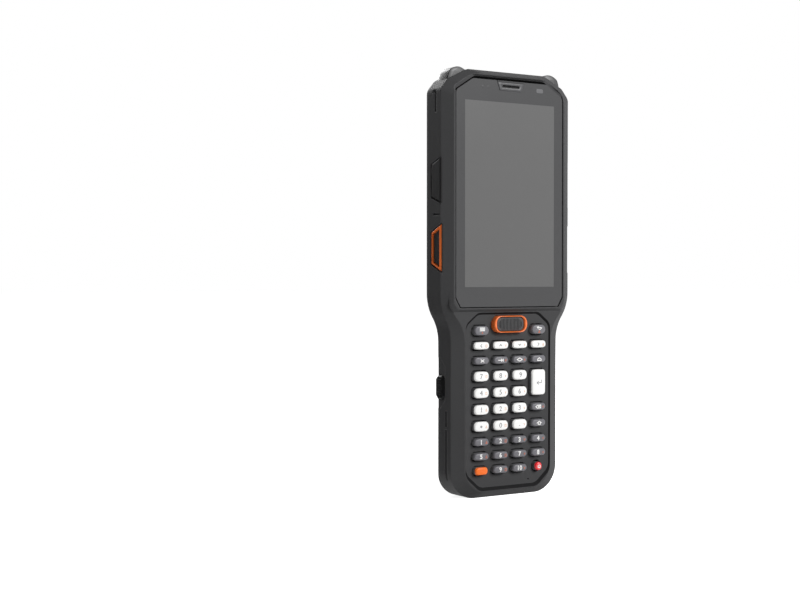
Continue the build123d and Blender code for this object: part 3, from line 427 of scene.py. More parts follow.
def facing(outward, x, depth, z, up=Vector((0, 0, 1))):
    """Matrix from a local face (right, up, outward) to its place on the terminal, in millimetres."""
    across = up.cross(outward)
    turn = Matrix((across, up, outward)).transposed().to_4x4()
    return Matrix.Translation((x * MM, KEY_TOPS_Y + depth * MM, z * MM)) @ turn @ Matrix.Scale(MM, 4)


def rim(half_w, half_h, radius, bow=0.0, corner_steps=5, edge_steps=4):
    """Closed rounded rectangle whose long edges bow out, as (x, y) points in millimetres."""
    radius = max(min(radius, half_w - 0.01, half_h - 0.01), 0.02)
    points = []
    for quarter in range(4):
        side_x, side_y = ((1, 1), (-1, 1), (-1, -1), (1, -1))[quarter]
        middle = Vector((side_x * (half_w - radius), side_y * (half_h - radius)))
        for step in range(corner_steps + 1):
            angle = (quarter + step / corner_steps) * math.pi / 2
            points.append(middle + radius * Vector((math.cos(angle), math.sin(angle))))
    closed = []
    per = corner_steps + 1
    for quarter in range(4):
        corner = points[quarter * per:(quarter + 1) * per]
        following = points[(quarter + 1) % 4 * per]
        closed += corner
        closed += [corner[-1].lerp(following, step / edge_steps) for step in range(1, edge_steps)]
    return [(p.x, p.y * (1 - bow / half_h * (p.x / half_w) ** 2)) for p in closed]


def filleted(right, radii, steps=6):
    """Closed outline from its right half, bottom to top, each corner rounded to its radius."""
    corners = [*zip(right, radii), *reversed([((-x, y), r) for (x, y), r in zip(right, radii)])]
    points = []
    for i, (corner, radius) in enumerate(corners):
        corner = Vector(corner)
        before = (Vector(corners[i - 1][0]) - corner).normalized()
        after = (Vector(corners[(i + 1) % len(corners)][0]) - corner).normalized()
        half = before.angle(after) / 2
        centre = corner + (before + after).normalized() * radius / math.sin(half)
        start = corner + before * radius / math.tan(half) - centre
        end = corner + after * radius / math.tan(half) - centre
        sweep = start.angle_signed(end)
        for step in range(steps + 1):
            arm = start.copy()
            arm.rotate(Matrix.Rotation(-sweep * step / steps, 2))
            points.append(tuple(centre + arm))
    return points


def new_object(name, data):
    """Object in the scene's own collection."""
    thing = bpy.data.objects.new(name, data)
    bpy.context.scene.collection.objects.link(thing)
    return thing


def row(count, pitch):
    """Places of a row about its middle."""
    return [(index - (count - 1) / 2) * pitch for index in range(count)]


class Builder:
    """Collects vertices and faces of one piece, each part through its own matrix."""

    def __init__(self):
        self.vertices = []
        self.faces = []

    def add(self, points, faces, matrix):
        start = len(self.vertices)
        self.vertices += [matrix @ Vector(p) for p in points]
        self.faces += [tuple(start + index for index in face) for face in faces]

    def rings(self, rings, matrix, loop=False):
        """Skin over rings of equal length, outside outward, with closed ends or as a loop."""
        count = len(rings[0])
        points = [p for ring in rings for p in ring]
        faces = []
        pairs = len(rings) if loop else len(rings) - 1
        for i in range(pairs):
            here, there = i * count, (i + 1) % len(rings) * count
            for j in range(count):
                k = (j + 1) % count
                faces.append((here + j, here + k, there + k, there + j))
        for ring, turn in () if loop else ((0, -1), (len(rings) - 1, 1)):
            middle = sum((Vector(p) for p in rings[ring]), Vector()) / count
            points.append(tuple(middle))
            for j in range(count):
                edge = (ring * count + j, ring * count + (j + 1) % count)[::turn]
                faces.append((*edge, len(points) - 1))
        self.add(points, faces, matrix)

    def cap(self, matrix, half_w, half_h, **shape):
        """Closed cap, with the shape that cap_rings takes."""
        self.rings(cap_rings(half_w, half_h, **shape), matrix)

    def band(self, matrix, outer, inner, foot, bulge):
        """Rounded band between two outlines."""
        self.rings(band_rings(outer, inner, foot, bulge), matrix, loop=True)

    def piece(self, name, body, slot, *replaced, smooth=40):
        """Make the object, with its finish, its body and the parts that it stands for."""
        mesh = bpy.data.meshes.new(name)
        mesh.from_pydata(self.vertices, [], self.faces)
        mesh.validate()
        mesh.materials.append(finishes()[slot])
        mesh.shade_smooth()
        mesh.set_sharp_from_angle(angle=math.radians(smooth))
        thing = new_object(name, mesh)
        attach(thing, body)
        if replaced:
            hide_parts(*replaced)


# Shares of a crown's fall at the middle of a side and at the middle of an end
SIDE_FALL, END_FALL = 0.8, 0.2


def dome(x, y, half_w, half_h, crown):
    """How far a crowned key top has fallen at a point."""
    return crown * (SIDE_FALL * (x / half_w) ** 2 + END_FALL * (y / half_h) ** 2)


def cap_rings(half_w, half_h, radius, foot, edge, crown=0.0, bow=0.0, draft=0.0):
    """Rings of a crowned cap whose middle is at height 0 and whose foot is below it."""
    rings = [[(x, y, -foot) for x, y in rim(half_w, half_h, radius, bow)]]
    half_w, half_h = half_w - draft, half_h - draft
    turns = (0.0, 0.4, 0.8, 1.2, 1.57)
    insets = [(edge * (1 - math.cos(a)), edge * (1 - math.sin(a))) for a in turns]
    inner = 0.94 * min(half_w, half_h)
    insets += [(edge + (inner - edge) * share, 0.0) for share in (0.35, 0.7, 1.0)]
    for inset, drop in insets:
        ring = rim(half_w - inset, half_h - inset, radius - inset, bow * (1 - inset / half_h))
        rings.append([(x, y, -drop - dome(x, y, half_w, half_h, crown)) for x, y in ring])
    return rings


def band_rings(outer, inner, foot, bulge):
    """Rings of a rounded band between two outlines, as a closed loop of rings."""
    # share of the way from the outer to the inner outline, and height
    profile = [(0, -foot), (0, -bulge), (0.06, -0.45 * bulge), (0.2, -0.15 * bulge), (0.4, 0)]
    profile += [(1 - share, height) for share, height in reversed(profile)]
    rings = []
    for share, height in profile:
        rings.append([
            (a[0] + (b[0] - a[0]) * share, a[1] + (b[1] - a[1]) * share, height)
            for a, b in zip(outer, inner)
        ])
    return rings


def add_caps(name, slot, outward, places, half_w, half_h, **shape):
    """One piece of equal caps."""
    caps = Builder()
    for place in places:
        caps.cap(facing(outward, *place), half_w, half_h, **shape)
    caps.piece(name, ROOT, slot)


def stroke(points, width):
    """Flat mitred strip along a line, closed where the line ends on its start."""
    closed = points[0] == points[-1]
    spots = []
    for start, end in zip(points, points[1:]):
        start, end = Vector(start), Vector(end)
        # short lengths, so that the strip follows a crowned face
        steps = max(1, math.ceil((end - start).length / 0.6))
        spots += [start.lerp(end, i / steps) for i in range(steps)]
    if not closed:
        spots.append(Vector(points[-1]))
    count = len(spots)
    vertices = []
    for i, spot in enumerate(spots):
        before = spots[i - 1] if i or closed else spot
        after = spots[(i + 1) % count] if i < count - 1 or closed else spot
        arrive = (spot - before if before != spot else after - spot).normalized()
        leave = (after - spot if after != spot else spot - before).normalized()
        across = Vector((-arrive.y - leave.y, arrive.x + leave.x)).normalized()
        reach = width / 2 / max(0.5, across.dot(Vector((-arrive.y, arrive.x))))
        vertices += [tuple(spot + across * reach), tuple(spot - across * reach)]
    last = count if closed else count - 1
    faces = []
    for i in range(last):
        here, there = 2 * i, 2 * ((i + 1) % count)
        faces.append((here + 1, there + 1, there, here))
    return vertices, faces


def arc(radius, start, end, steps):
    """Points of an arc about the origin, with its angles in degrees."""
    angles = [math.radians(start + (end - start) * i / steps) for i in range(steps + 1)]
    return [(radius * math.cos(a), radius * math.sin(a)) for a in angles]


# Half width, half height and crown of a face without a crown
FLAT_FACE = (1.0, 1.0, 0.0)


def add_print(builder, flat, faces, matrix, rise, surface=FLAT_FACE):
    """Thin closed print over flat points, laid on a crowned or a flat face."""
    count = len(flat)
    ground = [-dome(x, y, *surface) for x, y in flat]
    low = [(x, y, z - PRINT_SUNK) for (x, y), z in zip(flat, ground)]
    high = [(x, y, z + rise) for (x, y), z in zip(flat, ground)]
    solid = [tuple(index + count for index in face) for face in faces]
    solid += [tuple(reversed(face)) for face in faces]
    edges = [pair for face in faces for pair in zip(face, face[1:] + face[:1])]
    inner = {(b, a) for a, b in edges}
    solid += [(a, b, b + count, a + count) for a, b in edges if (a, b) not in inner]
    builder.add(low + high, solid, matrix)


def figure(text, size, bold):
    """Flat outline of a plain number, as points and faces."""
    curve = bpy.data.curves.new("figure", "FONT")
    curve.body = text
    curve.size = size
    curve.align_x = "CENTER"
    curve.align_y = "CENTER"
    curve.resolution_u = 3
    curve.offset = bold
    holder = new_object("figure", curve)
    solved = holder.evaluated_get(bpy.context.evaluated_depsgraph_get())
    flat = bpy.data.meshes.new_from_object(solved)
    points = [(v.co.x, v.co.y) for v in flat.vertices]
    faces = [tuple(p.vertices) for p in flat.polygons]
    bpy.data.objects.remove(holder)
    bpy.data.curves.remove(curve)
    bpy.data.meshes.remove(flat)
    return points, faces


# ---- key tops ----

# Lip of a key's flange, and how much a key's top is trimmed all round
KEY_FLANGE_LIP = 0.6
KEY_GAP, POWER_GAP = 0.1, 0.45
# The power key is rounder, a tall key's corners follow its width, and rows leave a gap
RED_CROWN = 1.4
TALL_CORNER = 0.42
ROW_GAP = 0.1
KEY_STYLE = {
    # slot: corner radius as a share of half the height, and share of the bow
    "key_white": (0.72, 1.0),
    "key_grey": (0.92, 0.55),
    "key_orange": (0.75, 0.5),
    "key_red": (1.0, 0.0),
}


def cad_frame(name):
    """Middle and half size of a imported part, across and up, in millimetres."""
    low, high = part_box(name)
    middle = [(low[i] + high[i]) / 2 / MM for i in (0, 2)]
    return *middle, *((high[i] - low[i]) / 2 / MM for i in (0, 2))


def key_frame(name):
    """Middle and half size of a keypad key's top."""
    x, z, half_w, half_h = cad_frame(name)
    trim = KEY_FLANGE_LIP + (POWER_GAP if name == "key_power" else KEY_GAP)
    return x, z, half_w - trim, half_h - trim - ROW_GAP


def key_crown(look, slot):
    """How far the sides of a key's top fall, in millimetres."""
    crown = look.crown / MM
    return crown * RED_CROWN if slot == "key_red" else crown


def keypad():
    """Names and slots of the keypad's keys."""
    parts = frame["record"]["subparts"]
    return [(p["node"], p["material_slot"]) for p in parts if p["node"].startswith("key_")]


class TERMINAL_OT_key_tops(bpy.types.Operator):
    """Mould a crowned top for every key of the keypad"""

    bl_idname = "terminal.key_tops"
    bl_label = "Key tops"

    def execute(self, context):
        look = context.scene.terminal_keys
        for name, slot in keypad():
            x, z, half_w, half_h = key_frame(name)
            share, bowed = KEY_STYLE[slot]
            sunk = look.sunk / MM
            tall = half_h > half_w
            matrix = facing(FRONT, x, sunk, z)
            rings = cap_rings(
                half_w, half_h, radius=share * (half_w * TALL_CORNER if tall else half_h),
                foot=look.shell / MM, edge=look.edge / MM, crown=key_crown(look, slot),
                bow=look.bow / MM * bowed, draft=look.draft / MM,
            )
            top = Builder()
            top.rings(rings, matrix)
            top.piece(f"top_{name}", name, slot, name)
            # grey base under each top: its own grey, and painted shade on the key's lower wall
            base = Builder()
            lower = [[(px, py, -KEY_FOOT_D + sunk) for px, py, pz in rings[0]], rings[0]]
            base.rings(lower, matrix)
            base.piece(f"base_{name}", name, "skirt")
        return {"FINISHED"}


# ---- marks ----

# Pictograms as strokes in a box 2 wide and 2 high
PICTOGRAMS = {
    "menu": [[(-1, 0.7), (1, 0.7)], [(-1, 0), (1, 0)], [(-1, -0.7), (1, -0.7)]],
    "back": [[(-0.9, 0.35), (0.4, 0.35), (0.9, 0.0), (0.4, -0.7), (-0.3, -0.7)],
             [(-0.4, 0.95), (-0.9, 0.35), (-0.4, -0.25)]],
    "left": [[(0.4, 0.9), (-0.5, 0), (0.4, -0.9)]],
    "right": [[(-0.4, 0.9), (0.5, 0), (-0.4, -0.9)]],
    "up": [[(-0.8, -0.5), (0, 0.5), (0.8, -0.5)]],
    "down": [[(-0.8, 0.5), (0, -0.5), (0.8, 0.5)]],
    "esc": [[(-0.7, 0.8), (0.7, -0.8)], [(-0.7, -0.8), (0.7, 0.8)]],
    "tab": [[(-1, 0), (0.6, 0)], [(0.1, 0.7), (0.7, 0), (0.1, -0.7)], [(1, 0.9), (1, -0.9)]],
    "alt": [[(0, 0.9), (1, 0), (0, -0.9), (-1, 0), (0, 0.9)]],
    "ctrl": [[(-0.9, -0.4), (0, 0.6), (0.9, -0.4)], [(-0.9, -0.9), (0.9, -0.9)]],
    "enter": [[(0.9, 0.9), (0.9, -0.2), (-0.8, -0.2)], [(-0.2, 0.4), (-0.9, -0.2), (-0.2, -0.8)]],
    "backspace": [[(-1, 0), (-0.4, 0.8), (1, 0.8), (1, -0.8), (-0.4, -0.8), (-1, 0)],
                  [(-0.1, 0.35), (0.6, -0.35)], [(-0.1, -0.35), (0.6, 0.35)]],
    "shift": [[(-0.4, -0.9), (-0.4, 0), (-0.9, 0), (0, 0.9),
               (0.9, 0), (0.4, 0), (0.4, -0.9), (-0.4, -0.9)]],
    "star": [[(0, 0.7), (0, -0.7)], [(-0.6, 0.35), (0.6, -0.35)], [(-0.6, -0.35), (0.6, 0.35)]],
    "point": [[(-0.25, -0.6), (0.25, -0.6)]],
    "power": [arc(0.8, 125, 415, 14), [(0, 0.3), (0, 1.0)]],
}
SECOND_MARKS = (
    [[(-0.5, 0), (0.5, 0)], [(0, 0.5), (0, -0.5)]],
    [[(-0.5, -0.5), (0.5, -0.5), (0, 0.5), (-0.5, -0.5)]],
    [[(-0.5, -0.5), (0.5, -0.5), (0.5, 0.5), (-0.5, 0.5), (-0.5, -0.5)]],
    [[(-0.5, 0.4), (0, -0.4), (0.5, 0.4)]],
)
NO_SECOND = ("key_fn", "key_power", "key_esc", "key_ctrl", "key_enter", "key_shift", "key_9")
# Keys whose second mark is under the first instead of beside it
STACKED = ("menu", "back")

# Height and boldness of a number, and width of a sign's lines
WHITE_KEY_MARK = (3.3, 0.0, 0.28)
COLOURED_KEY_MARK = (2.9, 0.1, 0.42)
# Half width and half height of a sign
SIGN = (0.85, 0.85)
GREY_KEY_SIGN = (1.45, 0.85)
ENTER_SIGN = (1.5, 1.3)
SECOND_SIGN = (0.9, 1.1)
SECOND_LINE = 0.26
# Places of the first and the second mark
ALONE, BESIDE, ABOVE = (0.0, 0.0), (-0.6, 0.0), (0.0, 0.65)
SECOND_BELOW = (0.0, -1.0)
SECOND_X, SECOND_Y, SECOND_MARGIN = 2.4, -0.1, 1.6


def placed(line, size, place):
    """Line of a pictogram at its size and place."""
    return [(x * size[0] + place[0], y * size[1] + place[1]) for x, y in line]


class TERMINAL_OT_key_marks(bpy.types.Operator):
    """Print plain numbers and pictograms on the keys"""

    bl_idname = "terminal.key_marks"
    bl_label = "Key marks"

    def execute(self, context):
        look = context.scene.terminal_keys
        rise = look.print_rise / MM
        for order, (name, slot) in enumerate(keypad()):
            if slot == "key_orange":
                continue
            sign = name.removeprefix("key_")
            x, z, half_w, half_h = key_frame(name)
            face = (half_w, half_h, key_crown(look, slot))
            matrix = facing(FRONT, x, look.sunk / MM, z)
            white = slot == "key_white"
            height, bold, width = WHITE_KEY_MARK if white else COLOURED_KEY_MARK
            place = ALONE if name in NO_SECOND else BESIDE
            if sign in STACKED:
                place = ABOVE
            main = Builder()
            digits = sign.removeprefix("f")
            if digits.isdigit():
                points, faces = figure(digits, height, bold)
                points = [(px + place[0], py + place[1]) for px, py in points]
                add_print(main, points, faces, matrix, rise, face)
            else:
                size = GREY_KEY_SIGN if slot == "key_grey" else SIGN
                if sign == "enter":
                    size = ENTER_SIGN
                for line in PICTOGRAMS[sign]:
                    add_print(main, *stroke(placed(line, size, place), width), matrix, rise, face)
            main.piece(f"mark_{name}", name, "print_grey" if white else "print_white")
            if name in NO_SECOND:
                continue
            second = Builder()
            place = (min(SECOND_X, half_w - SECOND_MARGIN), SECOND_Y)
            if sign in STACKED:
                place = SECOND_BELOW
            for line in SECOND_MARKS[order % len(SECOND_MARKS)]:
                spots = placed(line, SECOND_SIGN, place)
                add_print(second, *stroke(spots, SECOND_LINE), matrix, rise, face)
            second.piece(f"second_{name}", name, "print_peach" if white else "print_orange")
        return {"FINISHED"}


# ---- scan key ----

# Depths of the pad and of its ribs, how much it is trimmed, and its gap to the ring
PAD_D, RIB_D, PAD_TRIM, PAD_GAP = 0.65, 0.38, 0.1, 0.25
# The ribs end short of the pad's edge, and shorter still towards its round corners
RIB_MARGIN, FULL_RIBS, CORNER_W, CORNER_H = 0.45, 4.8, 1.8, 1.6


class TERMINAL_OT_scan_key(bpy.types.Operator):
    """Mould the scan key's rounded ring and its ribbed pad"""

    bl_idname = "terminal.scan_key"
    bl_label = "Scan key"

    def execute(self, context):
        half_w, half_h = cad_frame("scan_key_bezel")[2:]
        pad_w, pad_h = (half - PAD_TRIM for half in cad_frame("scan_key")[2:])
        matrix = facing(FRONT, 0, 0, SCAN_Z)
        ring = Builder()
        outer = rim(half_w, half_h, radius=3.8)
        inner = rim(pad_w + PAD_GAP, pad_h + PAD_GAP, radius=2.5)
        ring.band(matrix, outer, inner, foot=3.6, bulge=0.9)
        ring.piece("ring_scan_key", ROOT, "orange_trim", "scan_key_bezel", smooth=50)
        pad = Builder()
        sunk = facing(FRONT, 0, PAD_D, SCAN_Z)
        pad.cap(sunk, pad_w, pad_h, radius=2.3, foot=4.2, edge=0.3, crown=0.1)
        # the ribs give the thumb its grip
        for x in row(*SCAN_RIBS):
            reach = pad_h - RIB_MARGIN - CORNER_H * max(0, abs(x) - FULL_RIBS) / CORNER_W
            raised = facing(FRONT, x, RIB_D, SCAN_Z)
            pad.cap(raised, 0.23, reach, radius=0.22, foot=0.4, edge=0.12)
        pad.piece("pad_scan_key", "scan_key", "pad", "scan_key")
        return {"FINISHED"}


# ---- display, and the keypad step of painted shadow ----

# Depths of the gasket, whose black also paints the groove's shade, and of the earpiece's lip and
# mesh
GASKET_D, LIP_D, BAR_D = GLASS_D + 0.93, 0.62, 1.3
# Painted shadow step round the keypad's panel: how far it reaches out at the sides, below and above,
# and its depth
STEP_SIDE, STEP_BELOW, STEP_ABOVE, STEP_D = 0.5, 1.6, 0.9, 2.17


class TERMINAL_OT_display(bpy.types.Operator):
    """Add the sensors, the front camera, the earpiece's lip and the black gasket that paints the
    groove's shade
    """

    bl_idname = "terminal.display"
    bl_label = "Display details"

    def execute(self, context):
        add_caps(
            "sensor_windows", "pinhole", FRONT, SENSORS, 0.7, 0.7, radius=0.69, foot=0.1, edge=0.05
        )
        add_caps(
            "front_camera_window", "sensor", FRONT, [FRONT_CAMERA], 1.95, 0.95,
            radius=0.5, foot=0.1, edge=0.05,
        )
        trim = Builder()
        # the lip is wider at its top, and its slot is a little above its middle
        plate = [(x * (1 + 0.1 * y / 1.9), y) for x, y in rim(7.0, 1.9, radius=0.4)]
        slot = [(x, y + 0.15) for x, y in rim(5.0, 0.55, radius=0.54)]
        trim.band(facing(FRONT, 0, LIP_D, EARPIECE_Z - 0.15), plate, slot, foot=0.5, bulge=0.25)
        trim.piece("earpiece_trim", ROOT, "trim")
        # black gasket in the groove: painted shade, wider under the top rim
        gasket = Builder()
        half, low, high = GLASS
        outlines = []
        # outer line of the gasket, then the glass's own line
        for grow, rise, cut in ((0.2, 1.3, 0.35), (0.02, 0.0, 0.0)):
            w, foot = half + grow, low - grow
            right = [
                (w - 2.7, foot), (w, foot + 4.5), (w, high - 6 + cut),
                (w - 9.5 - 1.35 * rise + cut, high + rise),
            ]
            outlines.append(filleted(right, (0.8, 2.0, 2.5, 2.5)))
        gasket.band(facing(FRONT, 0, GASKET_D, 0), *outlines, foot=0.0, bulge=0.06)
        gasket.piece("display_gasket", ROOT, "gasket")
        return {"FINISHED"}


class TERMINAL_OT_keypad_step(bpy.types.Operator):
    """Add the dark step round the keypad's panel, a painted shadow in its recess"""

    bl_idname = "terminal.keypad_step"
    bl_label = "Keypad step"

    def execute(self, context):
        step = Builder()
        half, low, high = PANEL
        outlines = []
        for share, deep in ((1, STEP_D), (0, PANEL_D - 0.03)):
            w = half + STEP_SIDE * share
            foot, top = low - STEP_BELOW * share, high + STEP_ABOVE * share
            right = [(w - 8.0, foot), (w, foot + 7.0), (w, top - 5.5), (w - 7.0, top)]
            outlines.append([(x, y, -deep) for x, y in filleted(right, (6.0, 6.0, 5.0, 5.0))])
        # a skin 0.02 mm thick
        below = [[(x, y, z - 0.02) for x, y, z in ring] for ring in outlines]
        loop = [below[0], outlines[0], outlines[1], below[1]]
        step.rings(loop, facing(FRONT, 0, 0, 0), loop=True)
        step.piece("keypad_step", ROOT, "step")
        return {"FINISHED"}


class TERMINAL_OT_earpiece_grille(bpy.types.Operator):
    """Add the mesh behind the earpiece's slot"""

    bl_idname = "terminal.earpiece_grille"
    bl_label = "Earpiece mesh"

    def execute(self, context):
        mesh = Builder()
        # flat-topped bars, without the last rings of a cap
        bar = cap_rings(0.13, 0.7, radius=0.12, foot=0.3, edge=0.06)[:6]
        for x in row(*EARPIECE_BARS):
            mesh.rings(bar, facing(FRONT, x, BAR_D, EARPIECE_Z + 0.1))
        mesh.piece("earpiece_grille", ROOT, "module_black")
        return {"FINISHED"}


# ---- bumpers, sides and back ----

# Outer curve of a corner bumper, from its foot up and inward, and its hidden inner line
BUMPER_CURVE = (
    (33.2, 195.6), (32.6, 198.1), (31.7, 200.4), (29.8, 201.8), (27.3, 202.6), (25.0, 202.4),
    (22.1, 201.1),
)
BUMPER_INNER = ((24.2, 200.0), (31.8, 196.2))
# Point that its rounded faces draw in to, and depths of its front and its rear
BUMPER_MIDDLE = (29.0, 199.2)
BUMPER_D = (5.6, 13.4)


def smoothed(points, steps=4):
    """Catmull-Rom curve through points."""
    spots = [Vector(p) for p in points]
    spots = [2 * spots[0] - spots[1], *spots, 2 * spots[-1] - spots[-2]]
    curve = []
    for a, b, c, d in zip(spots, spots[1:], spots[2:], spots[3:]):
        for step in range(steps):
            t = step / steps
            square = (2 * a - 5 * b + 4 * c - d) * t ** 2
            cube = (3 * b - a - 3 * c + d) * t ** 3
            curve.append(0.5 * (2 * b + (c - a) * t + square + cube))
    return [*curve, spots[-2]]


class TERMINAL_OT_bumpers(bpy.types.Operator):
    """Mould the rubber bumpers over the two top corners"""

    bl_idname = "terminal.bumpers"
    bl_label = "Corner bumpers"

    def execute(self, context):
        outline = [*smoothed(BUMPER_CURVE), *(Vector(p) for p in BUMPER_INNER)]
        middle = Vector(BUMPER_MIDDLE)
        front, rear = BUMPER_D
        # share of the way in to the middle, and depth
        profile = (
            (0.09, rear), (0.03, rear - 0.25), (0.0, rear - 0.8),
            (0.0, front + 0.6), (0.03, front + 0.15), (0.08, front),
        )
        both = Builder()
        for side in (1, -1):
            rings = []
            for share, depth in profile:
                ring = [point.lerp(middle, share) for point in outline][::side]
                rings.append([(side * point.x, point.y, -depth) for point in ring])
            both.rings(rings, facing(FRONT, 0, 0, 0))
        both.piece("bumpers", ROOT, "bumper", "corner_bumpers", smooth=50)
        return {"FINISHED"}


# How far a latch's ribs and the charging pads stand proud
LATCH_RIB_RISE, CHARGING_PAD_RISE = 0.18, 0.05


class TERMINAL_OT_latch_ribs(bpy.types.Operator):
    """Add the ribs of the battery latches"""

    bl_idname = "terminal.latch_ribs"
    bl_label = "Latch ribs"

    def execute(self, context):
        for side, outward in (("right", RIGHT), ("left", LEFT)):
            low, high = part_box(f"{side}_battery_latch")
            x = (high[0] if side == "right" else low[0]) / MM
            z = (low[2] + high[2]) / 2 / MM
            depth = ((low[1] + high[1]) / 2 - KEY_TOPS_Y) / MM
            ribs = Builder()
            for up in row(*LATCH_RIBS):
                matrix = facing(outward, x + outward.x * LATCH_RIB_RISE, depth, z + up)
                ribs.cap(matrix, 2.1, 0.28, radius=0.26, foot=0.3, edge=0.1)
            ribs.piece(f"ribs_{side}_latch", f"{side}_battery_latch", "latch")
        return {"FINISHED"}


def lobed(radius, depth, lobes=6, steps=48):
    """Closed outline of a lobed drive recess, or a circle at depth 0."""
    points = []
    for i in range(steps):
        angle = 2 * math.pi * i / steps
        r = radius * (1 + depth * math.cos(lobes * angle))
        points.append((r * math.cos(angle), r * math.sin(angle)))
    return points


class TERMINAL_OT_fasteners(bpy.types.Operator):
    """Add the domed heads of the housing screws and the charging pads"""

    bl_idname = "terminal.fasteners"
    bl_label = "Screw heads and pads"

    def execute(self, context):
        heads = Builder()
        for x, z in SCREWS:
            for side in (1, -1):
                matrix = facing(REAR, side * x, SCREW_D, z)
                heads.band(matrix, lobed(1.5, 0.0), lobed(0.75, 0.16), foot=0.1, bulge=0.3)
        heads.piece("screw_heads", ROOT, "screw_steel")
        low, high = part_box("dock_contacts")
        middle = (low[2] + high[2]) / 2 / MM
        depth = (high[1] - KEY_TOPS_Y) / MM + CHARGING_PAD_RISE
        places = [(x, depth, middle) for x in row(*CHARGING_PADS)]
        add_caps(
            "charging_pads", "contact_metal", REAR, places, 0.55, 1.0,
            radius=0.3, foot=0.1, edge=0.08,
        )
        return {"FINISHED"}


class TERMINAL_OT_rear_details(bpy.types.Operator):
    """Add the blank label, the reader's mark, the camera lens, the flash and the release mark"""

    bl_idname = "terminal.rear_details"
    bl_label = "Rear details"

    def execute(self, context):
        add_caps(
            "blank_label", "label", REAR, [LABEL], 15.4, 3.6, radius=0.9, foot=0.08, edge=0.06
        )
        mark = Builder()
        matrix = facing(REAR, *READER_MARK)
        card = [(-2.9, -2.1), (2.9, -2.1), (2.9, 2.1), (-2.9, 2.1), (-2.9, -2.1)]
        add_print(mark, *stroke(card, READER_LINE), matrix, REAR_PRINT)
        # three waves on each side of the card, 64 degrees wide
        for radius in (5.4, 7.2, 9.0):
            for turn in (0, 180):
                wave = arc(radius, turn - 32, turn + 32, 10)
                add_print(mark, *stroke(wave, READER_LINE), matrix, REAR_PRINT)
        mark.piece("reader_mark", ROOT, "print_grey")
        release = Builder()
        arrow = [(-1.8, 1.4), (0, -1.4), (1.8, 1.4)]
        add_print(release, arrow, [(0, 1, 2)], facing(REAR, *RELEASE_MARK), REAR_PRINT)
        release.piece("release_mark", "battery_pack", "print_white")
        ring = Builder()
        matrix = facing(REAR, *CAMERA_RING)
        ring.band(matrix, lobed(4.1, 0.0), lobed(2.9, 0.0), foot=0.1, bulge=0.5)
        ring.piece("camera_surround", ROOT, "nickel")
        add_caps(
            "camera_lens", "dark_window", REAR, [CAMERA_LENS], 2.95, 2.95,
            radius=2.94, foot=0.2, edge=0.1, crown=0.3,
        )
        add_caps(
            "camera_flash", "flash", REAR, [FLASH], 1.4, 1.4,
            radius=1.39, foot=0.1, edge=0.1, crown=0.15,
        )
        return {"FINISHED"}


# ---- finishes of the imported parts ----

# Small parts with a geometric edge radius, and the angle from which an edge is rounded
ROUND_ANGLE = 35
ROUNDED = (
    "trigger_bezels", "right_trigger", "left_trigger", "function_key", "volume_rocker",
    "right_battery_latch", "left_battery_latch",
)


def round_edges(thing, width):
    """Moulded edge radius of a small part, whose facets are all larger than the radius."""
    weld = thing.modifiers.new("weld", "WELD")
    weld.merge_threshold = 0.002 * MM
    bevel = thing.modifiers.new("edge_radius", "BEVEL")
    bevel.width = width
    bevel.segments = 2
    bevel.limit_method = "ANGLE"
    bevel.angle_limit = math.radians(ROUND_ANGLE)
    bevel.use_clamp_overlap = False
    bevel.harden_normals = True
    bevel.miter_outer = "MITER_SHARP"


class TERMINAL_OT_finish_parts(bpy.types.Operator):
    """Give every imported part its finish, and the small controls their moulded edge radius"""

    bl_idname = "terminal.finish_parts"
    bl_label = "Part finishes"

    def execute(self, context):
        made = finishes()
        for part in frame["record"]["subparts"]:
            thing = frame["nodes"][part["node"]]
            thing.data.materials.clear()
            thing.data.materials.append(made[part["material_slot"]])
        for name in ("right_battery_latch", "left_battery_latch"):
            frame["nodes"][name].data.materials[0] = made["latch"]
        for name in ROUNDED:
            round_edges(frame["nodes"][name], context.scene.terminal_housing.edge)
        return {"FINISHED"}


# ---- studio ----

# Camera: place in metres, degrees that it looks down, and lens and sensor in millimetres
VIEW_PLACE = (-0.3870, -0.5379, 0.1042)
VIEW_TILT = 0.95
VIEW_LENS, VIEW_SENSOR = 61.39, 36.0
# Softboxes: place, then width and height, and the point that they face, in metres
KEY_SOFTBOX = ((0.55, -1.2, 0.8), (0.6, 0.6))
TOP_SOFTBOX = ((0.0, 0.95, 0.65), (0.7, 0.5))
LIT_POINT = (0, 0, 0.1)
# Floor's half side, and black flag: folds across and up, and ends, in metres
FLOOR = 9
FLAG_FOLDS = ((-0.05, 0.002), (-0.2, 0.002), (-0.2, 0.6))
FLAG_ENDS = (-0.3, 0.7)
# Light of the floor and of the air for rays that see them directly
FLOOR_LIFT, AIR_SEEN = 0.87, 1.0


def area_lamp(name, place, size, power):
    """Softbox that faces the terminal and that the camera doesn't see."""
    data = bpy.data.lights.new(name, "AREA")
    data.shape = "RECTANGLE"
    data.size, data.size_y = size
    data.energy = power
    lamp = new_object(name, data)
    lamp.location = place
    lamp.rotation_euler = (Vector(LIT_POINT) - Vector(place)).to_track_quat("-Z", "Y").to_euler()
    lamp.visible_camera = False


def pale_rays(tree, low, high):
    """Light level that is high only for the camera, reflections and glass, which see white."""
    path = add_node(tree, "LightPath")
    seen = path.outputs["Is Camera Ray"]
    for name in ("Is Glossy Ray", "Is Transmission Ray"):
        seen = add_node(
            tree, "Math", {"operation": "MAXIMUM"}, {0: seen, 1: path.outputs[name]}
        ).outputs[0]
    return add_node(
        tree, "MapRange", {"To Min": low, "To Max": high}, {"Value": seen}
    ).outputs["Result"]


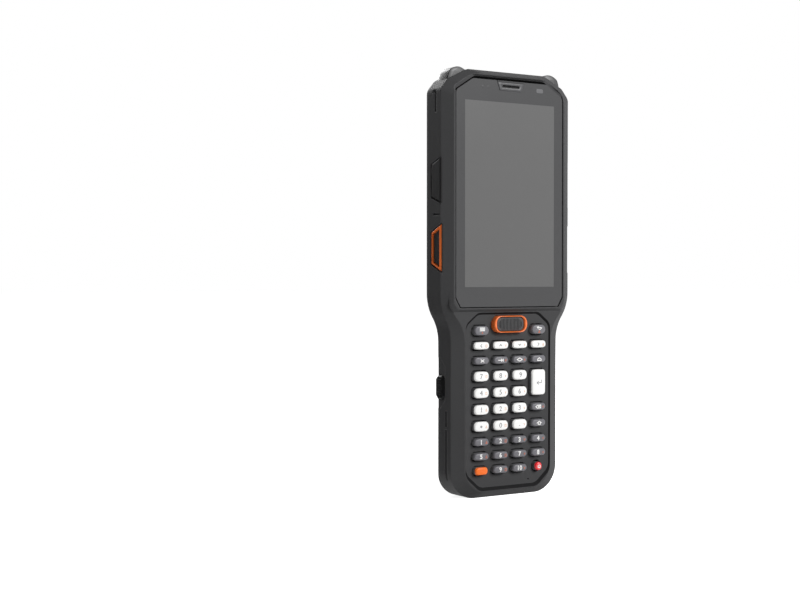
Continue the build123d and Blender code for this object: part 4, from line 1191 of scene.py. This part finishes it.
def floor_paper(look):
    """Matt paper sweep: white to the eye, with the terminal's soft shadow on it."""
    material, tree, output, place = new_material("matt_paper")
    lift = add_node(
        tree, "Emission", {"Color": (1, 1, 1, 1)},
        {"Strength": pale_rays(tree, 0.0, FLOOR_LIFT)},
    )
    # paper fibres about 2.5 mm across
    fibre = add_node(
        tree, "TexNoise", {"Scale": 400.0, "Detail": 2.0}, {"Vector": place}
    ).outputs["Fac"]
    rough = add_node(
        tree, "MapRange", {"To Min": 0.8, "To Max": 1.0}, {"Value": fibre}
    ).outputs["Result"]
    paint = add_node(tree, "BsdfDiffuse", {"Color": tuple(look.floor)}, {"Roughness": rough})
    both = add_node(tree, "AddShader", {}, {0: lift.outputs[0], 1: paint.outputs[0]})
    tree.links.new(both.outputs[0], output.inputs["Surface"])
    return material


class TERMINAL_OT_stage(bpy.types.Operator):
    """Set up the camera, the floor, the even light and the two softboxes"""

    bl_idname = "terminal.stage"
    bl_label = "Stage"

    def execute(self, context):
        scene = context.scene
        look = scene.terminal_studio
        scene.view_settings.view_transform = "Standard"
        camera = bpy.data.cameras.new("camera")
        camera.sensor_width = VIEW_SENSOR
        camera.lens = VIEW_LENS
        camera.clip_start = 0.01
        camera.clip_end = 50
        holder = new_object("camera", camera)
        turn, tilt = look.view_turn, math.radians(VIEW_TILT)
        level = math.cos(tilt)
        holder.location = VIEW_PLACE
        aim = Vector((math.sin(turn) * level, math.cos(turn) * level, -math.sin(tilt)))
        holder.rotation_euler = aim.to_track_quat("-Z", "Y").to_euler()
        scene.camera = holder

        mesh = bpy.data.meshes.new("floor")
        corners = ((-FLOOR, -FLOOR, 0), (FLOOR, -FLOOR, 0), (FLOOR, FLOOR, 0), (-FLOOR, FLOOR, 0))
        mesh.from_pydata(corners, [], [(0, 1, 2, 3)])
        mesh.materials.append(floor_paper(look))
        new_object("floor", mesh)

        world = bpy.data.worlds.new("studio_air")
        scene.world = world
        world.use_nodes = True
        tree = world.node_tree
        tree.nodes.clear()
        output = add_node(tree, "OutputWorld")
        air = add_node(
            tree, "Background", {"Color": (1, 1, 1, 1)},
            {"Strength": pale_rays(tree, look.air, AIR_SEEN)},
        )
        tree.links.new(air.outputs[0], output.inputs["Surface"])

        # black flag folded along the floor at the left, which only reflections see: it keeps
        # the left side dark
        board = bpy.data.meshes.new("black_flag")
        corners = [(x, y, z) for x, z in FLAG_FOLDS for y in FLAG_ENDS]
        board.from_pydata(corners, [], [(0, 1, 3, 2), (2, 3, 5, 4)])
        board.materials.append(moulded("black_velvet", linear("#121212"), 0.9, specular=0.0))
        flag = new_object("black_flag", board)
        flag.visible_camera = flag.visible_diffuse = flag.visible_shadow = False

        area_lamp("key_softbox", *KEY_SOFTBOX, look.key_power)
        area_lamp("top_softbox", *TOP_SOFTBOX, look.top_power)
        return {"FINISHED"}


# ---- panel and main ----

GROUPS = {
    "terminal_housing": TerminalHousingLook,
    "terminal_keys": TerminalKeyLook,
    "terminal_display": TerminalDisplayLook,
    "terminal_studio": TerminalStudio,
}
STEPS = (
    TERMINAL_OT_finish_parts,
    TERMINAL_OT_key_tops,
    TERMINAL_OT_key_marks,
    TERMINAL_OT_scan_key,
    TERMINAL_OT_display,
    TERMINAL_OT_keypad_step,
    TERMINAL_OT_earpiece_grille,
    TERMINAL_OT_bumpers,
    TERMINAL_OT_latch_ribs,
    TERMINAL_OT_fasteners,
    TERMINAL_OT_rear_details,
    TERMINAL_OT_stage,
)


class TERMINAL_PT_panel(bpy.types.Panel):
    """Sizes, colours and steps of the terminal"""

    bl_idname = "TERMINAL_PT_panel"
    bl_label = "Handheld data terminal"
    bl_space_type = "VIEW_3D"
    bl_region_type = "UI"
    bl_category = "Terminal"

    def draw(self, context):
        for attribute, group in GROUPS.items():
            box = self.layout.box()
            for name in group.__annotations__:
                box.prop(getattr(context.scene, attribute), name)
        for step in STEPS:
            self.layout.operator(step.bl_idname)


def register():
    for item in (*GROUPS.values(), *STEPS, TERMINAL_PT_panel):
        bpy.utils.register_class(item)
    for attribute, group in GROUPS.items():
        setattr(bpy.types.Scene, attribute, PointerProperty(type=group))


def unregister():
    for attribute in GROUPS:
        delattr(bpy.types.Scene, attribute)
    for item in (TERMINAL_PT_panel, *reversed(STEPS), *reversed(GROUPS.values())):
        bpy.utils.unregister_class(item)


def main():
    register()
    bpy.ops.terminal.finish_parts()
    bpy.ops.terminal.key_tops()
    bpy.ops.terminal.key_marks()
    bpy.ops.terminal.scan_key()
    bpy.ops.terminal.display()
    bpy.ops.terminal.keypad_step()
    bpy.ops.terminal.earpiece_grille()
    bpy.ops.terminal.bumpers()
    bpy.ops.terminal.latch_ribs()
    bpy.ops.terminal.fasteners()
    bpy.ops.terminal.rear_details()
    bpy.ops.terminal.stage()
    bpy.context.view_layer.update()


if __name__ == "__main__":
    main()
